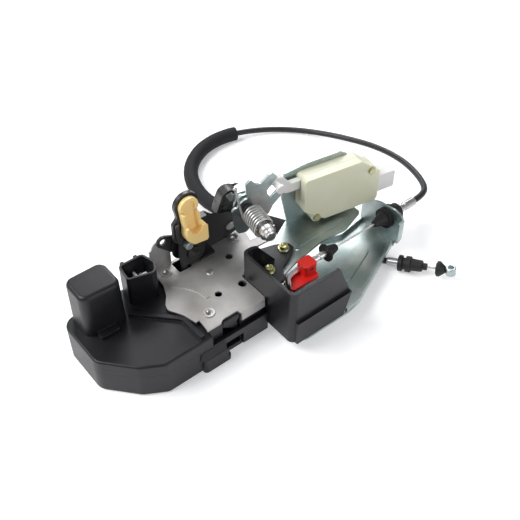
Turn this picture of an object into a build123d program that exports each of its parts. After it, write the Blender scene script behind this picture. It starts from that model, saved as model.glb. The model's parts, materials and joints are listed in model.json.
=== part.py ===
"""Door latch with its drive unit, lever stack, lock actuator and release cable.

Frame: origin at the centre of the front tapped collar, on the top face of the back plate.
+X runs along the latch towards the cable bracket, +Y away from the striker mouth, +Z out of the plate.
Every piece is a separate solid and is written to parts/ as one STEP file. Millimetres throughout.
"""

import math
import os

from build123d import *

os.makedirs("parts", exist_ok=True)

# ---------------------------------------------------------------- driving dimensions
FIT = 0.05  # radial gap of a bush or pin that turns
SEAT = 0.3  # gap of a piece that must not touch its neighbour

# back plate and its tapped collars
PLATE_T = 1.5
COLLAR_A = (-1.5, 51.5)
COLLAR_B = (0.0, 0.0)
COLLAR_C = (60.0, 49.5)
COLLARS = [COLLAR_A, COLLAR_B, COLLAR_C]
THREAD_R = 2.5
COLLAR_R = 4.3
COLLAR_UP = 0.8
COLLAR_LIP_R = 5.0
COLLAR_LIP_T = 1.5
COLLAR_DEPTH = 7.0
PLATE_HOLES = [(45.3, 36.0, 2.9), (36.0, 7.6, 3.2), (16.1, 10.3, 2.7)]  # x, y, radius
SLOT_X = (7.0, 18.6)
SLOT_Y = (45.5, 57.0)
PLATE_RIVET = (24.2, 31.5)

# lower housing and its cover
FLOOR_Z = -35.0
SEAM_Z = -14.0
COVER_TOP_Z = -4.0
WALL = 2.4
COVER_SKIN = 2.4
HOUSE_LEFT = -84.0
HOUSE_BACK = 62.0
HOUSE_FRONT = -16.5
HOUSE_RIGHT = 40.5
COVER_RIGHT = -9.0
LATCH_FRONT = -13.0
BLOCK_BACK = 60.0
WING_FRONT = 20.0
WING_RIGHT = 70.0

# motor cap (the tower)
CAP_C = (-60.8, 48.5)
CAP_W = 32.0
CAP_D = 28.0
CAP_TOP_Z = 34.0
CAP_WALL = 2.0
CAP_CORNER = 7.0

# gear train: spur gears on vertical axes
MODULE = 0.8
PINION_TEETH = 12
WHEEL_TEETH = 48
SECTOR_TEETH = 60
GEAR_T = 5.0
GEAR_Z = -29.0
GEAR_C = (-60.0, 24.0)
SECTOR_TRAVEL = 16.0
MOTOR_R = 11.0
MOTOR_H = 44.0
MOTOR_Z = -17.0
SHAFT_R = 1.5
AXLE_R = 2.5

# striker mouth, fork and pawl
MOUTH_X = (2.0, 17.0)
MOUTH_Z = -31.0
MOUTH_END = 23.0
FORK_PIVOT = (28.0, 12.0)
FORK_R = 23.0
FORK_Z = -19.0
FORK_T = 6.0
STRIKER_R = 5.0
STRIKER_AT = (9.5, 16.0)  # where the striker rests when the fork is shut
FORK_OPEN = 50.0  # the fork stands open by this angle
STUD_R = 4.0
PAWL_PIVOT = (-4.0, 14.0)
PAWL_TAIL = 9.0
POCKET_Z = -19.5
POCKET_BACK = 36.0

# connector socket
SOCKET_C = (-24.5, 52.0)
SOCKET_TOP_Z = 22.0
SOCKET_WALL = 1.6

# guard (the open-topped shield) and its deck
GUARD_LEFT = 40.5
GUARD_T = 2.4
GUARD_TOP_Z = 24.5
GUARD_BOTTOM_Z = -25.0
GUARD_FRONT = -43.5
GUARD_REAR = 14.0
GUARD_STEP_Z = -4.0
GUARD_LEDGE = 2.2
DECK_Z = 2.3
DECK_T = 2.5

# cable bracket (the zinc channel)
BRACKET_T = 1.8
BRACKET_FLOOR_Z = -25.0
BRACKET_END = 172.0
LIP_H = 4.0

# cable axis at the near end
CABLE_Y = -5.0
CABLE_Z = -2.8
WIRE_R = 0.8
SHEATH_R = 2.6
FOAM_R = 6.5

# lever stack: everything on the pivot pin is turned in plan by this angle
STACK_TURN = 10.0
PIVOT = (62.0, 34.5, 41.0)
PIN_R = 3.6
LEVER_T = 2.0

# handle lever and its bracket
HUB = (20.5, 12.0)  # x, z
HANDLE_Y = 46.5
HANDLE_T = 3.0
LEVER_BRACKET_Y = 54.0
LEVER_BRACKET_T = 2.0
EYE = (18.0, 59.5)
EYE_R = 10.0
CLIP_HUB_R = 6.6

# lock actuator
CASE_W = 68.0
CASE_H = 44.0
CASE_T = 14.0
CASE_Z = 6.5
CASE_START = 46.0  # along the stack's turned axis, from the pivot
CASE_FRONT = 6.0  # in front of the fork lever's plane
CASE_WALL = 1.8


def write(part, name):
    """Labels one finished piece and writes its STEP file."""
    part.label = name
    export_step(part, f"parts/{name}.step")


def outline(plane, corners, inset=0.0):
    """Closed profile on a plane from corners (x, y) or (x, y, radius), moved inwards by a wall."""
    with BuildSketch(plane) as profile:
        with BuildLine():
            Polyline(*[corner[:2] for corner in corners], close=True)
        make_face()
        for corner in corners:
            if len(corner) == 3:
                fillet(profile.vertices().sort_by_distance(Vector(*corner[:2]))[0], corner[2])
        if inset:
            offset(amount=-inset)
    return profile.sketch


def disc(plane, radius, centre=(0.0, 0.0), bore=0.0):
    """Round profile on a plane, with a hole if a bore is given."""
    with BuildSketch(plane) as profile:
        with Locations(centre):
            Circle(radius)
            if bore:
                Circle(bore, mode=Mode.SUBTRACT)
    return profile.sketch


def plan(x, y, z):
    """Horizontal plane with its origin at a point."""
    return Plane(origin=(x, y, z), x_dir=(1, 0, 0), z_dir=(0, 0, 1))


def facing_front(x, y, z):
    """Upright plane whose normal points to the front (-Y) and whose y axis is up."""
    return Plane(origin=(x, y, z), x_dir=(1, 0, 0), z_dir=(0, -1, 0))


TURN = math.radians(STACK_TURN)
ALONG = Vector(math.cos(TURN), -math.sin(TURN), 0)
TO_FRONT = Vector(-math.sin(TURN), -math.cos(TURN), 0)


def stack(off, along=0.0, up=0.0):
    """Upright plane across the pivot pin: off is how far in front of the fork lever it stands."""
    origin = Vector(*PIVOT) + TO_FRONT * off + ALONG * along + Vector(0, 0, up)
    return Plane(origin=origin, x_dir=ALONG, z_dir=TO_FRONT)


def along_x(x, y, z):
    """Plane across the X axis, with its y axis up."""
    return Plane(origin=(x, y, z), x_dir=(0, 1, 0), z_dir=(1, 0, 0))


def gear_points(teeth, module, first=0, count=None, phase=0.0):
    """Corner points of simple trapezoid teeth on a pitch circle."""
    pitch = module * teeth / 2
    tip = pitch + module
    root = pitch - 1.2 * module
    step = 2 * math.pi / teeth
    points = []
    for k in range(first, first + (count or teeth)):
        mid = k * step + phase
        for radius, share in ((root, -0.30), (tip, -0.13), (tip, 0.13), (root, 0.30)):
            angle = mid + share * step
            points.append((radius * math.cos(angle), radius * math.sin(angle)))
    return points


# ---------------------------------------------------------------- lower housing
DRIVE_CORNERS = [
    (COVER_RIGHT, HOUSE_BACK),
    (HOUSE_LEFT, HOUSE_BACK, 10.0),
    (HOUSE_LEFT, 16.0, 12.0),
    (-64.0, -7.0, 10.0),
    (-48.0, HOUSE_FRONT, 8.0),
    (COVER_RIGHT, HOUSE_FRONT),
]
BLOCK_CORNERS = [
    (COVER_RIGHT, BLOCK_BACK),
    (COVER_RIGHT, LATCH_FRONT),
    (HOUSE_RIGHT, LATCH_FRONT, 2.0),
    (HOUSE_RIGHT, WING_FRONT),
    (WING_RIGHT, WING_FRONT, 6.0),
    (WING_RIGHT, BLOCK_BACK, 8.0),
]
BULGE_X = (-19.0, 5.0)
BULGE_FRONT = -19.6
BULGE_TOP_Z = -22.0
MOUTH_OVERRUN = 5.0  # the mouth's cut starts this far in front of the foot
WING_Z = -22.0
POCKET_LEFT = COVER_RIGHT + WALL
POCKET_RIGHT = HOUSE_RIGHT - WALL
POCKET_FRONT = LATCH_FRONT + WALL
PAWL_WINDOW_Y = (-7.0, 27.0)
STUD_TOP_Z = -4.0
PAWL_WINDOW_TOP = STUD_TOP_Z + 0.5
MOTOR_SEAT = (-60.0, 48.0)
MOTOR_SHELF_Y = 54.6
SECTOR_PIVOT = (GEAR_C[0] + MODULE * (SECTOR_TEETH + PINION_TEETH) / 2, GEAR_C[1])
SECTOR_STUD_R = 3.0
STUD_FOOT = 8.0
BOSS_R = 6.0

with BuildPart() as housing_lower:
    extrude(outline(Plane.XY.offset(FLOOR_Z), DRIVE_CORNERS), amount=SEAM_Z - FLOOR_Z)
    chamfer(housing_lower.faces().sort_by(Axis.Z)[0].edges(), 1.5)
    extrude(outline(Plane.XY.offset(WING_Z), BLOCK_CORNERS), amount=-PLATE_T - WING_Z)
    with BuildSketch(Plane.XY.offset(FLOOR_Z)):
        with Locations(((COVER_RIGHT + HOUSE_RIGHT) / 2, (LATCH_FRONT + BLOCK_BACK) / 2)):
            Rectangle(HOUSE_RIGHT - COVER_RIGHT, BLOCK_BACK - LATCH_FRONT)
    extrude(amount=WING_Z - FLOOR_Z)
    # rounded foot of the mouth, in front of the lower housing
    with BuildSketch(Plane.XY.offset(FLOOR_Z)):
        with Locations((sum(BULGE_X) / 2, BULGE_FRONT + 8)):
            RectangleRounded(BULGE_X[1] - BULGE_X[0], 16.0, 3.0)
    extrude(amount=BULGE_TOP_Z - FLOOR_Z)
    # gear side, open at the top
    gear_space = outline(Plane.XY.offset(FLOOR_Z + WALL), DRIVE_CORNERS, WALL)
    extrude(gear_space, amount=SEAM_Z - FLOOR_Z - WALL, mode=Mode.SUBTRACT)
    # bearing bosses of the gear axle and the sector stud, and the motor's shelf
    with BuildSketch(Plane.XY.offset(FLOOR_Z + WALL / 2)):
        with Locations(GEAR_C, SECTOR_PIVOT):
            Circle(BOSS_R)
    extrude(amount=GEAR_Z - FLOOR_Z - WALL / 2 - SEAT)
    with BuildSketch(Plane.XY.offset(FLOOR_Z + WALL / 2)):
        with Locations(SECTOR_PIVOT):
            Circle(BOSS_R)
    extrude(amount=GEAR_Z + GEAR_T - FLOOR_Z - WALL / 2)
    with BuildSketch(Plane.XY.offset(FLOOR_Z + WALL / 2)):
        with Locations((MOTOR_SEAT[0], (MOTOR_SHELF_Y + HOUSE_BACK - WALL / 2) / 2)):
            Rectangle(18.0, HOUSE_BACK - WALL / 2 - MOTOR_SHELF_Y)
    extrude(amount=MOTOR_Z - FLOOR_Z - WALL / 2)
    # fork and pawl pocket, its window towards the gears, and the space behind it
    with BuildSketch(Plane.XY.offset(POCKET_Z)):
        with Locations(((POCKET_LEFT + POCKET_RIGHT) / 2, (POCKET_FRONT + POCKET_BACK) / 2)):
            Rectangle(POCKET_RIGHT - POCKET_LEFT, POCKET_BACK - POCKET_FRONT)
    extrude(amount=-POCKET_Z, mode=Mode.SUBTRACT)
    for side, low in ((COVER_RIGHT + WALL / 2, POCKET_Z), (COVER_RIGHT - WALL / 2, GEAR_Z + GEAR_T - 1)):
        with BuildSketch(Plane.XY.offset(low)):
            with Locations((side, sum(PAWL_WINDOW_Y) / 2)):
                Rectangle(WALL, PAWL_WINDOW_Y[1] - PAWL_WINDOW_Y[0])
        extrude(amount=PAWL_WINDOW_TOP - low, mode=Mode.SUBTRACT)
    with BuildSketch(Plane.XY.offset(WING_Z + WALL)):
        with Locations(((POCKET_LEFT + WING_RIGHT - WALL) / 2, (POCKET_BACK + WALL + BLOCK_BACK - WALL) / 2)):
            Rectangle(WING_RIGHT - WALL - POCKET_LEFT, BLOCK_BACK - POCKET_BACK - 2 * WALL)
    extrude(amount=-WING_Z, mode=Mode.SUBTRACT)
    # striker mouth
    with BuildSketch(Plane.XY.offset(MOUTH_Z)):
        with Locations((sum(MOUTH_X) / 2, (BULGE_FRONT - MOUTH_OVERRUN + MOUTH_END) / 2)):
            RectangleRounded(MOUTH_X[1] - MOUTH_X[0], MOUTH_END - BULGE_FRONT + MOUTH_OVERRUN, 3.0)
    extrude(amount=-MOUTH_Z, mode=Mode.SUBTRACT)
    # seats of the studs and axles
    with BuildSketch(Plane.XY.offset(POCKET_Z)):
        with Locations(FORK_PIVOT, PAWL_PIVOT):
            Circle(STUD_R)
    extrude(amount=-STUD_FOOT, mode=Mode.SUBTRACT)
    with BuildSketch(Plane.XY.offset(GEAR_Z)):
        with Locations(GEAR_C):
            Circle(AXLE_R)
        with Locations(SECTOR_PIVOT):
            Circle(SECTOR_STUD_R)
    extrude(amount=FLOOR_Z + WALL / 2 - GEAR_Z, mode=Mode.SUBTRACT)
    with BuildSketch(Plane.XY.offset(GEAR_Z + GEAR_T)):
        with Locations(SECTOR_PIVOT):
            Circle(SECTOR_STUD_R)
    extrude(amount=-GEAR_T, mode=Mode.SUBTRACT)
    # the right collar's screw comes out through the floor of the wing
    extrude(disc(plan(*COLLAR_C, WING_Z), COLLAR_R), amount=WALL, mode=Mode.SUBTRACT)
write(housing_lower.part, "housing_lower")

# ---------------------------------------------------------------- cover and motor cap
RIB_TOP_Z = 0.0
RIB_W = 3.5
RIB_LINE = [(-43.0, 37.5), (-15.8, 9.2), (-15.1, -13.5)]
CAP_CORNERS = [
    (CAP_C[0] - CAP_W / 2, CAP_C[1] - CAP_D / 2 + 1, CAP_CORNER),
    (CAP_C[0] + CAP_W / 2, CAP_C[1] - CAP_D / 2 - 1, CAP_CORNER),
    (CAP_C[0] + CAP_W / 2, CAP_C[1] + CAP_D / 2 - 1, CAP_CORNER),
    (CAP_C[0] - CAP_W / 2, CAP_C[1] + CAP_D / 2 - 1, CAP_CORNER),
]
SNAP_W = 15.0
SNAP_D = 7.0
SNAP_H = 3.0

with BuildPart() as housing_cover:
    extrude(outline(Plane.XY.offset(SEAM_Z), DRIVE_CORNERS), amount=COVER_TOP_Z - SEAM_Z)
    top_rim = housing_cover.faces().sort_by(Axis.Z)[-1].edges().filter_by(
        lambda e: e.center().X < COVER_RIGHT - 0.1
    )
    fillet(top_rim, 1.6)
    with BuildSketch(Plane.XY.offset(COVER_TOP_Z - 1)):
        with BuildLine():
            FilletPolyline(*RIB_LINE, radius=6.0)
        trace(line_width=RIB_W)
    extrude(amount=RIB_TOP_Z - COVER_TOP_Z + 1 - PLATE_T - 0.2)
    inner_h = COVER_TOP_Z - COVER_SKIN - SEAM_Z
    extrude(outline(Plane.XY.offset(SEAM_Z), DRIVE_CORNERS, WALL), amount=inner_h, mode=Mode.SUBTRACT)
    # open end towards the latch block
    with BuildSketch(Plane.XY.offset(SEAM_Z)):
        with Locations((COVER_RIGHT - WALL / 2, (HOUSE_FRONT + HOUSE_BACK) / 2)):
            Rectangle(WALL, HOUSE_BACK - HOUSE_FRONT - 2 * WALL)
    extrude(amount=inner_h, mode=Mode.SUBTRACT)
    extrude(disc(Plane.XY.offset(SEAM_Z), MOTOR_R + 0.5, MOTOR_SEAT), amount=20.0, mode=Mode.SUBTRACT)
write(housing_cover.part, "housing_cover")

with BuildPart() as motor_cap:
    extrude(outline(Plane.XY.offset(COVER_TOP_Z), CAP_CORNERS), amount=CAP_TOP_Z - COVER_TOP_Z, taper=0.8)
    fillet(motor_cap.faces().sort_by(Axis.Z)[-1].edges(), 3.0)
    extrude(
        outline(Plane.XY.offset(COVER_TOP_Z), CAP_CORNERS, CAP_WALL),
        amount=CAP_TOP_Z - COVER_TOP_Z - CAP_WALL,
        taper=0.8,
        mode=Mode.SUBTRACT,
    )
    # snap catch at the foot of the front wall
    with BuildSketch(Plane.XY.offset(COVER_TOP_Z)):
        with Locations((CAP_C[0] - 2, CAP_C[1] - CAP_D / 2 - SNAP_D / 2 + 0.9)):
            RectangleRounded(SNAP_W, SNAP_D, 1.0)
    extrude(amount=SNAP_H)
write(motor_cap.part, "motor_cap")

# ---------------------------------------------------------------- connector socket
SOCKET_CORNERS = [
    (-37.0, 44.0, 3.0), (-16.0, 38.0, 5.0), (-11.5, 48.0, 6.0), (-14.5, 60.0, 4.0), (-35.0, 60.0, 4.0),
]
SOCKET_FLOOR = 2.0
LUG_W = 3.2
BLOCK_T = 5.0
PIN_GAP = 3.6
PIN_H = 12.0

with BuildPart() as connector_socket:
    extrude(outline(Plane.XY.offset(COVER_TOP_Z), SOCKET_CORNERS), amount=SOCKET_TOP_Z - COVER_TOP_Z)
    with BuildSketch(Plane.XY.offset(SOCKET_TOP_Z - 7)):
        with Locations((-19.5, 61.0), (-30.5, 61.0)):
            RectangleRounded(LUG_W, 3.4, 1.0)
    extrude(amount=6.0)
    extrude(
        outline(Plane.XY.offset(COVER_TOP_Z + SOCKET_FLOOR), SOCKET_CORNERS, SOCKET_WALL),
        amount=SOCKET_TOP_Z - COVER_TOP_Z,
        mode=Mode.SUBTRACT,
    )
write(connector_socket.part, "connector_socket")

with BuildPart() as terminal_block:
    extrude(
        outline(Plane.XY.offset(COVER_TOP_Z + SOCKET_FLOOR), SOCKET_CORNERS, SOCKET_WALL + 0.2),
        amount=BLOCK_T,
    )
    # raised cross that keys the plug
    block_top = COVER_TOP_Z + SOCKET_FLOOR + BLOCK_T
    with BuildSketch(Plane.XY.offset(block_top)):
        with Locations(SOCKET_C):
            Rectangle(15.0, 1.6)
            Rectangle(1.6, 12.0)
    extrude(amount=8.0)
    with BuildSketch(Plane.XY.offset(block_top)):
        with Locations(SOCKET_C):
            with GridLocations(2 * PIN_GAP, PIN_GAP * 1.6, 2, 2):
                Rectangle(2.4, 1.0)
    extrude(amount=-BLOCK_T, mode=Mode.SUBTRACT)
write(terminal_block.part, "terminal_block")

with BuildPart() as terminal_pins:
    with BuildSketch(Plane.XY.offset(COVER_TOP_Z + SOCKET_FLOOR)):
        with Locations(SOCKET_C):
            with GridLocations(2 * PIN_GAP, PIN_GAP * 1.6, 2, 2):
                Rectangle(2.4, 1.0)
    extrude(amount=PIN_H)
    chamfer(terminal_pins.faces().filter_by(Axis.Z).edges().group_by(Axis.Z)[-1].filter_by(Axis.X), 0.3)
write(terminal_pins.part, "terminal_pins")

# ---------------------------------------------------------------- back plate and its collars
PLATE_CORNERS = [
    (-9.4, 48.9, 2.0), (-9.9, 42.9, 3.0), (-13.8, 33.3, 4.0), (-19.5, 25.5, 3.0), (-20.8, 20.5, 3.0),
    (-14.8, 9.6, 4.0), (-12.3, -1.4), (-9.4, -1.0), (-9.8, -7.5, 2.0), (-10.6, -12.8),
    (1.0, -12.8, 1.0), (4.2, -10.6, 1.5), (16.8, -10.6, 1.5), (18.0, -14.6), (39.0, -14.6), (39.0, -13.0),
    (40.2, -13.0),
    (40.2, 14.0), (49.0, 15.6, 2.0), (56.0, 12.0), (66.0, 11.6), (67.0, 31.7), (84.0, 31.0, 3.0),
    (84.0, 38.0, 2.0),
    (68.9, 40.2), (71.3, 48.3, 3.0), (66.0, 57.0, 4.0), (58.4, 59.6, 6.0), (-9.4, 59.6),
]
FLANGE_X = (-9.4, 8.0)
FLANGE_H = 21.0
FRONT_LIP_X = (18.0, 39.0)
FRONT_LIP_H = 8.0
EMBOSS_LINE = [(-6.0, 38.0), (2.0, 30.0), (7.0, 20.0), (8.0, 12.0)]

with BuildPart() as back_plate:
    extrude(outline(Plane.XY.offset(-PLATE_T), PLATE_CORNERS), amount=PLATE_T)
    # rear flange with a stepped top, folded up
    with BuildSketch(facing_front(0, PLATE_CORNERS[-1][1], -PLATE_T)):
        with BuildLine():
            Polyline(
                (FLANGE_X[0], 0), (FLANGE_X[0], FLANGE_H + PLATE_T), (-2.0, FLANGE_H + PLATE_T),
                (0.0, FLANGE_H - 2.5), (FLANGE_X[1], FLANGE_H - 3.5), (FLANGE_X[1], 0), close=True,
            )
        make_face()
    extrude(amount=PLATE_T)
    # front lip, folded down over the latch block
    with BuildSketch(facing_front(0, LATCH_FRONT - 0.1, -FRONT_LIP_H)):
        with Locations((sum(FRONT_LIP_X) / 2, FRONT_LIP_H / 2)):
            Rectangle(FRONT_LIP_X[1] - FRONT_LIP_X[0], FRONT_LIP_H)
    extrude(amount=PLATE_T)
    # pressed bead
    with BuildSketch(Plane.XY.offset(-0.1)):
        with BuildLine():
            FilletPolyline(*EMBOSS_LINE, radius=8.0)
        trace(line_width=3.0)
    extrude(amount=0.7)
    with BuildSketch(Plane.XY.offset(-PLATE_T)):
        with Locations(*COLLARS):
            Circle(COLLAR_R)
        for x, y, radius in PLATE_HOLES:
            with Locations((x, y)):
                Circle(radius)
        with Locations(PLATE_RIVET):
            Circle(1.6)
        with Locations(((SLOT_X[0] + SLOT_X[1]) / 2, (SLOT_Y[0] + SLOT_Y[1]) / 2)):
            RectangleRounded(SLOT_X[1] - SLOT_X[0], SLOT_Y[1] - SLOT_Y[0], 1.5)
    extrude(amount=PLATE_T, mode=Mode.SUBTRACT)
write(back_plate.part, "back_plate")

with BuildPart() as threaded_collars:
    for x, y in COLLARS:
        with BuildSketch(Plane.XY.offset(COLLAR_UP)):
            with Locations((x, y)):
                Circle(COLLAR_R)
        extrude(amount=-COLLAR_UP - COLLAR_DEPTH)
        with BuildSketch(Plane.XY.offset(-PLATE_T)):
            with Locations((x, y)):
                Circle(COLLAR_LIP_R)
        extrude(amount=-COLLAR_LIP_T)
        with BuildSketch(Plane.XY.offset(COLLAR_UP)):
            with Locations((x, y)):
                Circle(THREAD_R)
        extrude(amount=-COLLAR_UP - COLLAR_DEPTH, mode=Mode.SUBTRACT)
write(threaded_collars.part, "threaded_collars")

with BuildPart() as plate_rivet:
    with Locations((*PLATE_RIVET, 0)):
        Cylinder(2.8, 0.8, align=(Align.CENTER, Align.CENTER, Align.MIN))
        Cylinder(1.6, 6.0, align=(Align.CENTER, Align.CENTER, Align.MAX))
    fillet(plate_rivet.faces().sort_by(Axis.Z)[-1].edges(), 0.4)
write(plate_rivet.part, "plate_rivet")

# ---------------------------------------------------------------- studs, axles, fork and pawl
STUD_SHOULDER_R = 5.6
STUD_GAP = 0.1

with BuildPart() as latch_studs:
    for x, y in (FORK_PIVOT, PAWL_PIVOT):
        with BuildSketch(Plane.XY.offset(POCKET_Z - STUD_FOOT)):
            with Locations((x, y)):
                Circle(STUD_R)
        extrude(amount=STUD_TOP_Z - POCKET_Z + STUD_FOOT)
        with BuildSketch(Plane.XY.offset(POCKET_Z)):
            with Locations((x, y)):
                Circle(STUD_SHOULDER_R)
        extrude(amount=FORK_Z - POCKET_Z - STUD_GAP)
write(latch_studs.part, "latch_studs")

with BuildPart() as gear_axles:
    with BuildSketch(Plane.XY.offset(FLOOR_Z + WALL / 2)):
        with Locations(GEAR_C):
            Circle(AXLE_R)
    extrude(amount=GEAR_Z + 2 * GEAR_T + 2 - FLOOR_Z - WALL / 2)
    with BuildSketch(Plane.XY.offset(FLOOR_Z + WALL / 2)):
        with Locations(SECTOR_PIVOT):
            Circle(SECTOR_STUD_R)
    extrude(amount=GEAR_Z + 2 * GEAR_T + 2 - FLOOR_Z - WALL / 2)
write(gear_axles.part, "gear_axles")

FORK_HUB_R = 9.0
FORK_WAIST_R = 18.6
SLOT_ANGLE = 195.0
SLOT_R = STRIKER_R + 0.3
HOOK_R = 16.3
HOOK_T = 3.2
shut_x = STRIKER_AT[0] - FORK_PIVOT[0]
shut_y = STRIKER_AT[1] - FORK_PIVOT[1]


def fork_plane(z):
    """Plane of the fork's profile, drawn shut and turned open about its stud."""
    turn = math.radians(FORK_OPEN)
    return Plane(
        origin=(*FORK_PIVOT, z), x_dir=(math.cos(turn), math.sin(turn), 0), z_dir=(0, 0, 1)
    )


def at_angle(radius, degrees, centre=(0.0, 0.0)):
    """Point at a radius and an angle about a centre."""
    turn = math.radians(degrees)
    return (centre[0] + radius * math.cos(turn), centre[1] + radius * math.sin(turn))


hook_q = (PAWL_PIVOT[0] - FORK_PIVOT[0], PAWL_PIVOT[1] - FORK_PIVOT[1])
leg_foot = at_angle(HOOK_R - 0.3, -38.7, hook_q)
LEG_SLOPE = 51.3

with BuildPart() as fork_bolt:
    with BuildSketch(fork_plane(FORK_Z)) as fork_profile:
        Circle(FORK_R)
        with BuildLine():
            Polyline((0, 0), at_angle(40, 148), at_angle(40, 200), at_angle(40, 250), close=True)
        make_face(mode=Mode.INTERSECT)
        Circle(FORK_HUB_R)
        # the rim behind the catch leg is stepped in, to clear the pawl's hook
        with BuildLine():
            Polyline(
                at_angle(-20, LEG_SLOPE, leg_foot), at_angle(3.4, LEG_SLOPE, leg_foot),
                at_angle(FORK_WAIST_R, 207), at_angle(FORK_WAIST_R, 216), at_angle(FORK_WAIST_R, 225),
                at_angle(FORK_WAIST_R, 234), at_angle(FORK_WAIST_R, 243), at_angle(FORK_WAIST_R, 252),
                at_angle(60, 252), close=True,
            )
        make_face(mode=Mode.SUBTRACT)
        # short upper leg
        with BuildLine():
            Polyline(at_angle(19, 140), at_angle(40, 140), at_angle(40, 171), at_angle(19, 171), close=True)
        make_face(mode=Mode.SUBTRACT)
        # striker slot
        with BuildLine():
            Line((shut_x, shut_y), at_angle(24, SLOT_ANGLE, (shut_x, shut_y)))
        trace(line_width=2 * SLOT_R, mode=Mode.SUBTRACT)
        with Locations((shut_x, shut_y)):
            Circle(SLOT_R, mode=Mode.SUBTRACT)
        Circle(STUD_R + FIT, mode=Mode.SUBTRACT)
    extrude(amount=FORK_T)
write(fork_bolt.part, "fork_bolt")

PAWL_TURN = SECTOR_TRAVEL * (math.dist(SECTOR_PIVOT, PAWL_PIVOT) - PAWL_TAIL) / PAWL_TAIL
tail_line = math.degrees(math.atan2(SECTOR_PIVOT[1] - PAWL_PIVOT[1], SECTOR_PIVOT[0] - PAWL_PIVOT[0]))
tail_rest = tail_line - PAWL_TURN / 2
TAIL_PIN_R = 1.5
PAWL_HUB_R = 6.4
SECTOR_T = 4.4

with BuildPart() as pawl:
    with BuildSketch(plan(*PAWL_PIVOT, FORK_Z)):
        Circle(PAWL_HUB_R)
        # tail
        with BuildLine():
            Line((0, 0), at_angle(PAWL_TAIL, tail_rest))
        trace(line_width=5.6)
        with Locations(at_angle(PAWL_TAIL, tail_rest)):
            Circle(2.8)
        # hook, drawn engaged and turned back by the pawl's travel
        with BuildLine():
            CenterArc((0, 0), HOOK_R + HOOK_T / 2, -96 - PAWL_TURN, 55)
        trace(line_width=HOOK_T)
        with BuildLine():
            Polyline(
                at_angle(5.9, -105 - PAWL_TURN), at_angle(HOOK_R + HOOK_T - 0.4, -97 - PAWL_TURN),
                at_angle(HOOK_R + HOOK_T - 0.5, -86 - PAWL_TURN), at_angle(HOOK_R - 1, -78 - PAWL_TURN),
                at_angle(5.9, -40 - PAWL_TURN), close=True,
            )
        make_face()
        Circle(STUD_R + FIT, mode=Mode.SUBTRACT)
    extrude(amount=FORK_T)
    with BuildSketch(plan(*PAWL_PIVOT, FORK_Z)):
        with Locations(at_angle(PAWL_TAIL, tail_rest)):
            Circle(TAIL_PIN_R)
    extrude(amount=-SECTOR_T - 0.5)
write(pawl.part, "pawl")

BUMPER_T = 2.0

with BuildPart() as mouth_bumper:
    with BuildSketch(plan(sum(MOUTH_X) / 2, MOUTH_END, MOUTH_Z)):
        with Locations((0, -BUMPER_T / 2 - 0.02)):
            RectangleRounded(9.0, BUMPER_T, 0.6)
    extrude(amount=POCKET_Z - MOUTH_Z - 1.0)
write(mouth_bumper.part, "mouth_bumper")

# ---------------------------------------------------------------- springs of the fork and the pawl
COIL_R = 6.0
COIL_WIRE_R = 0.7


def coil(base, radius, wire, pitch, turns):
    """Round-wire coil standing on a plane."""
    with BuildPart() as spring:
        with BuildLine() as centre:
            Helix(pitch=pitch, height=pitch * turns, radius=radius)
        with BuildSketch(Plane(origin=centre.line @ 0, z_dir=centre.line % 0)):
            Circle(wire)
        sweep()
    return base.location * spring.part


coil_z = FORK_Z + FORK_T + COIL_WIRE_R + SEAT
fork_coil = coil(plan(*FORK_PIVOT, coil_z), COIL_R, COIL_WIRE_R, 2.2, 3.0)
pawl_coil = coil(plan(*PAWL_PIVOT, coil_z), COIL_R - 0.8, COIL_WIRE_R, 1.9, 2.0)
write(Compound(children=[fork_coil, pawl_coil]), "latch_springs")

# ---------------------------------------------------------------- gear train
ROOT_R = MODULE * (PINION_TEETH / 2 - 1.2)


def gear_face(plane, teeth, module, first=0, count=None, phase=0.0):
    """Toothed profile; a part gear is closed through its centre."""
    points = gear_points(teeth, module, first, count, phase)
    if count:
        points = points + [(0.0, 0.0)]
    with BuildSketch(plane) as profile:
        with BuildLine():
            Polyline(*points, close=True)
        make_face()
    return profile.sketch


half_tooth = math.pi / WHEEL_TEETH
with BuildPart() as drive_gear:
    extrude(gear_face(plan(*GEAR_C, GEAR_Z), WHEEL_TEETH, MODULE, phase=half_tooth), amount=GEAR_T - SEAT)
    with BuildSketch(plan(*GEAR_C, GEAR_Z + GEAR_T - SEAT)):
        Circle(MODULE * WHEEL_TEETH / 2 - 4.5)
        Circle(ROOT_R + 2.0, mode=Mode.SUBTRACT)
    extrude(amount=-1.5, mode=Mode.SUBTRACT)
    extrude(gear_face(plan(*GEAR_C, GEAR_Z), PINION_TEETH, MODULE), amount=2 * GEAR_T)
    with BuildSketch(plan(*GEAR_C, GEAR_Z)):
        Circle(AXLE_R + FIT)
    extrude(amount=2 * GEAR_T, mode=Mode.SUBTRACT)
write(drive_gear.part, "drive_gear")

with BuildPart() as motor_pinion:
    extrude(
        gear_face(plan(*MOTOR_SEAT, GEAR_Z), PINION_TEETH, MODULE, phase=-math.pi / 2),
        amount=GEAR_T - SEAT,
    )
    extrude(disc(plan(*MOTOR_SEAT, GEAR_Z), SHAFT_R), amount=MOTOR_Z - GEAR_Z + 6.0)
write(motor_pinion.part, "motor_pinion")

with BuildPart() as drive_motor:
    extrude(disc(plan(*MOTOR_SEAT, MOTOR_Z), MOTOR_R), amount=MOTOR_H)
    fillet(drive_motor.edges(), 1.5)
    extrude(disc(plan(*MOTOR_SEAT, MOTOR_Z + MOTOR_H), 4.0), amount=2.5)
    extrude(disc(plan(*MOTOR_SEAT, MOTOR_Z), SHAFT_R + FIT), amount=8.0, mode=Mode.SUBTRACT)
write(drive_motor.part, "drive_motor")

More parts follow.
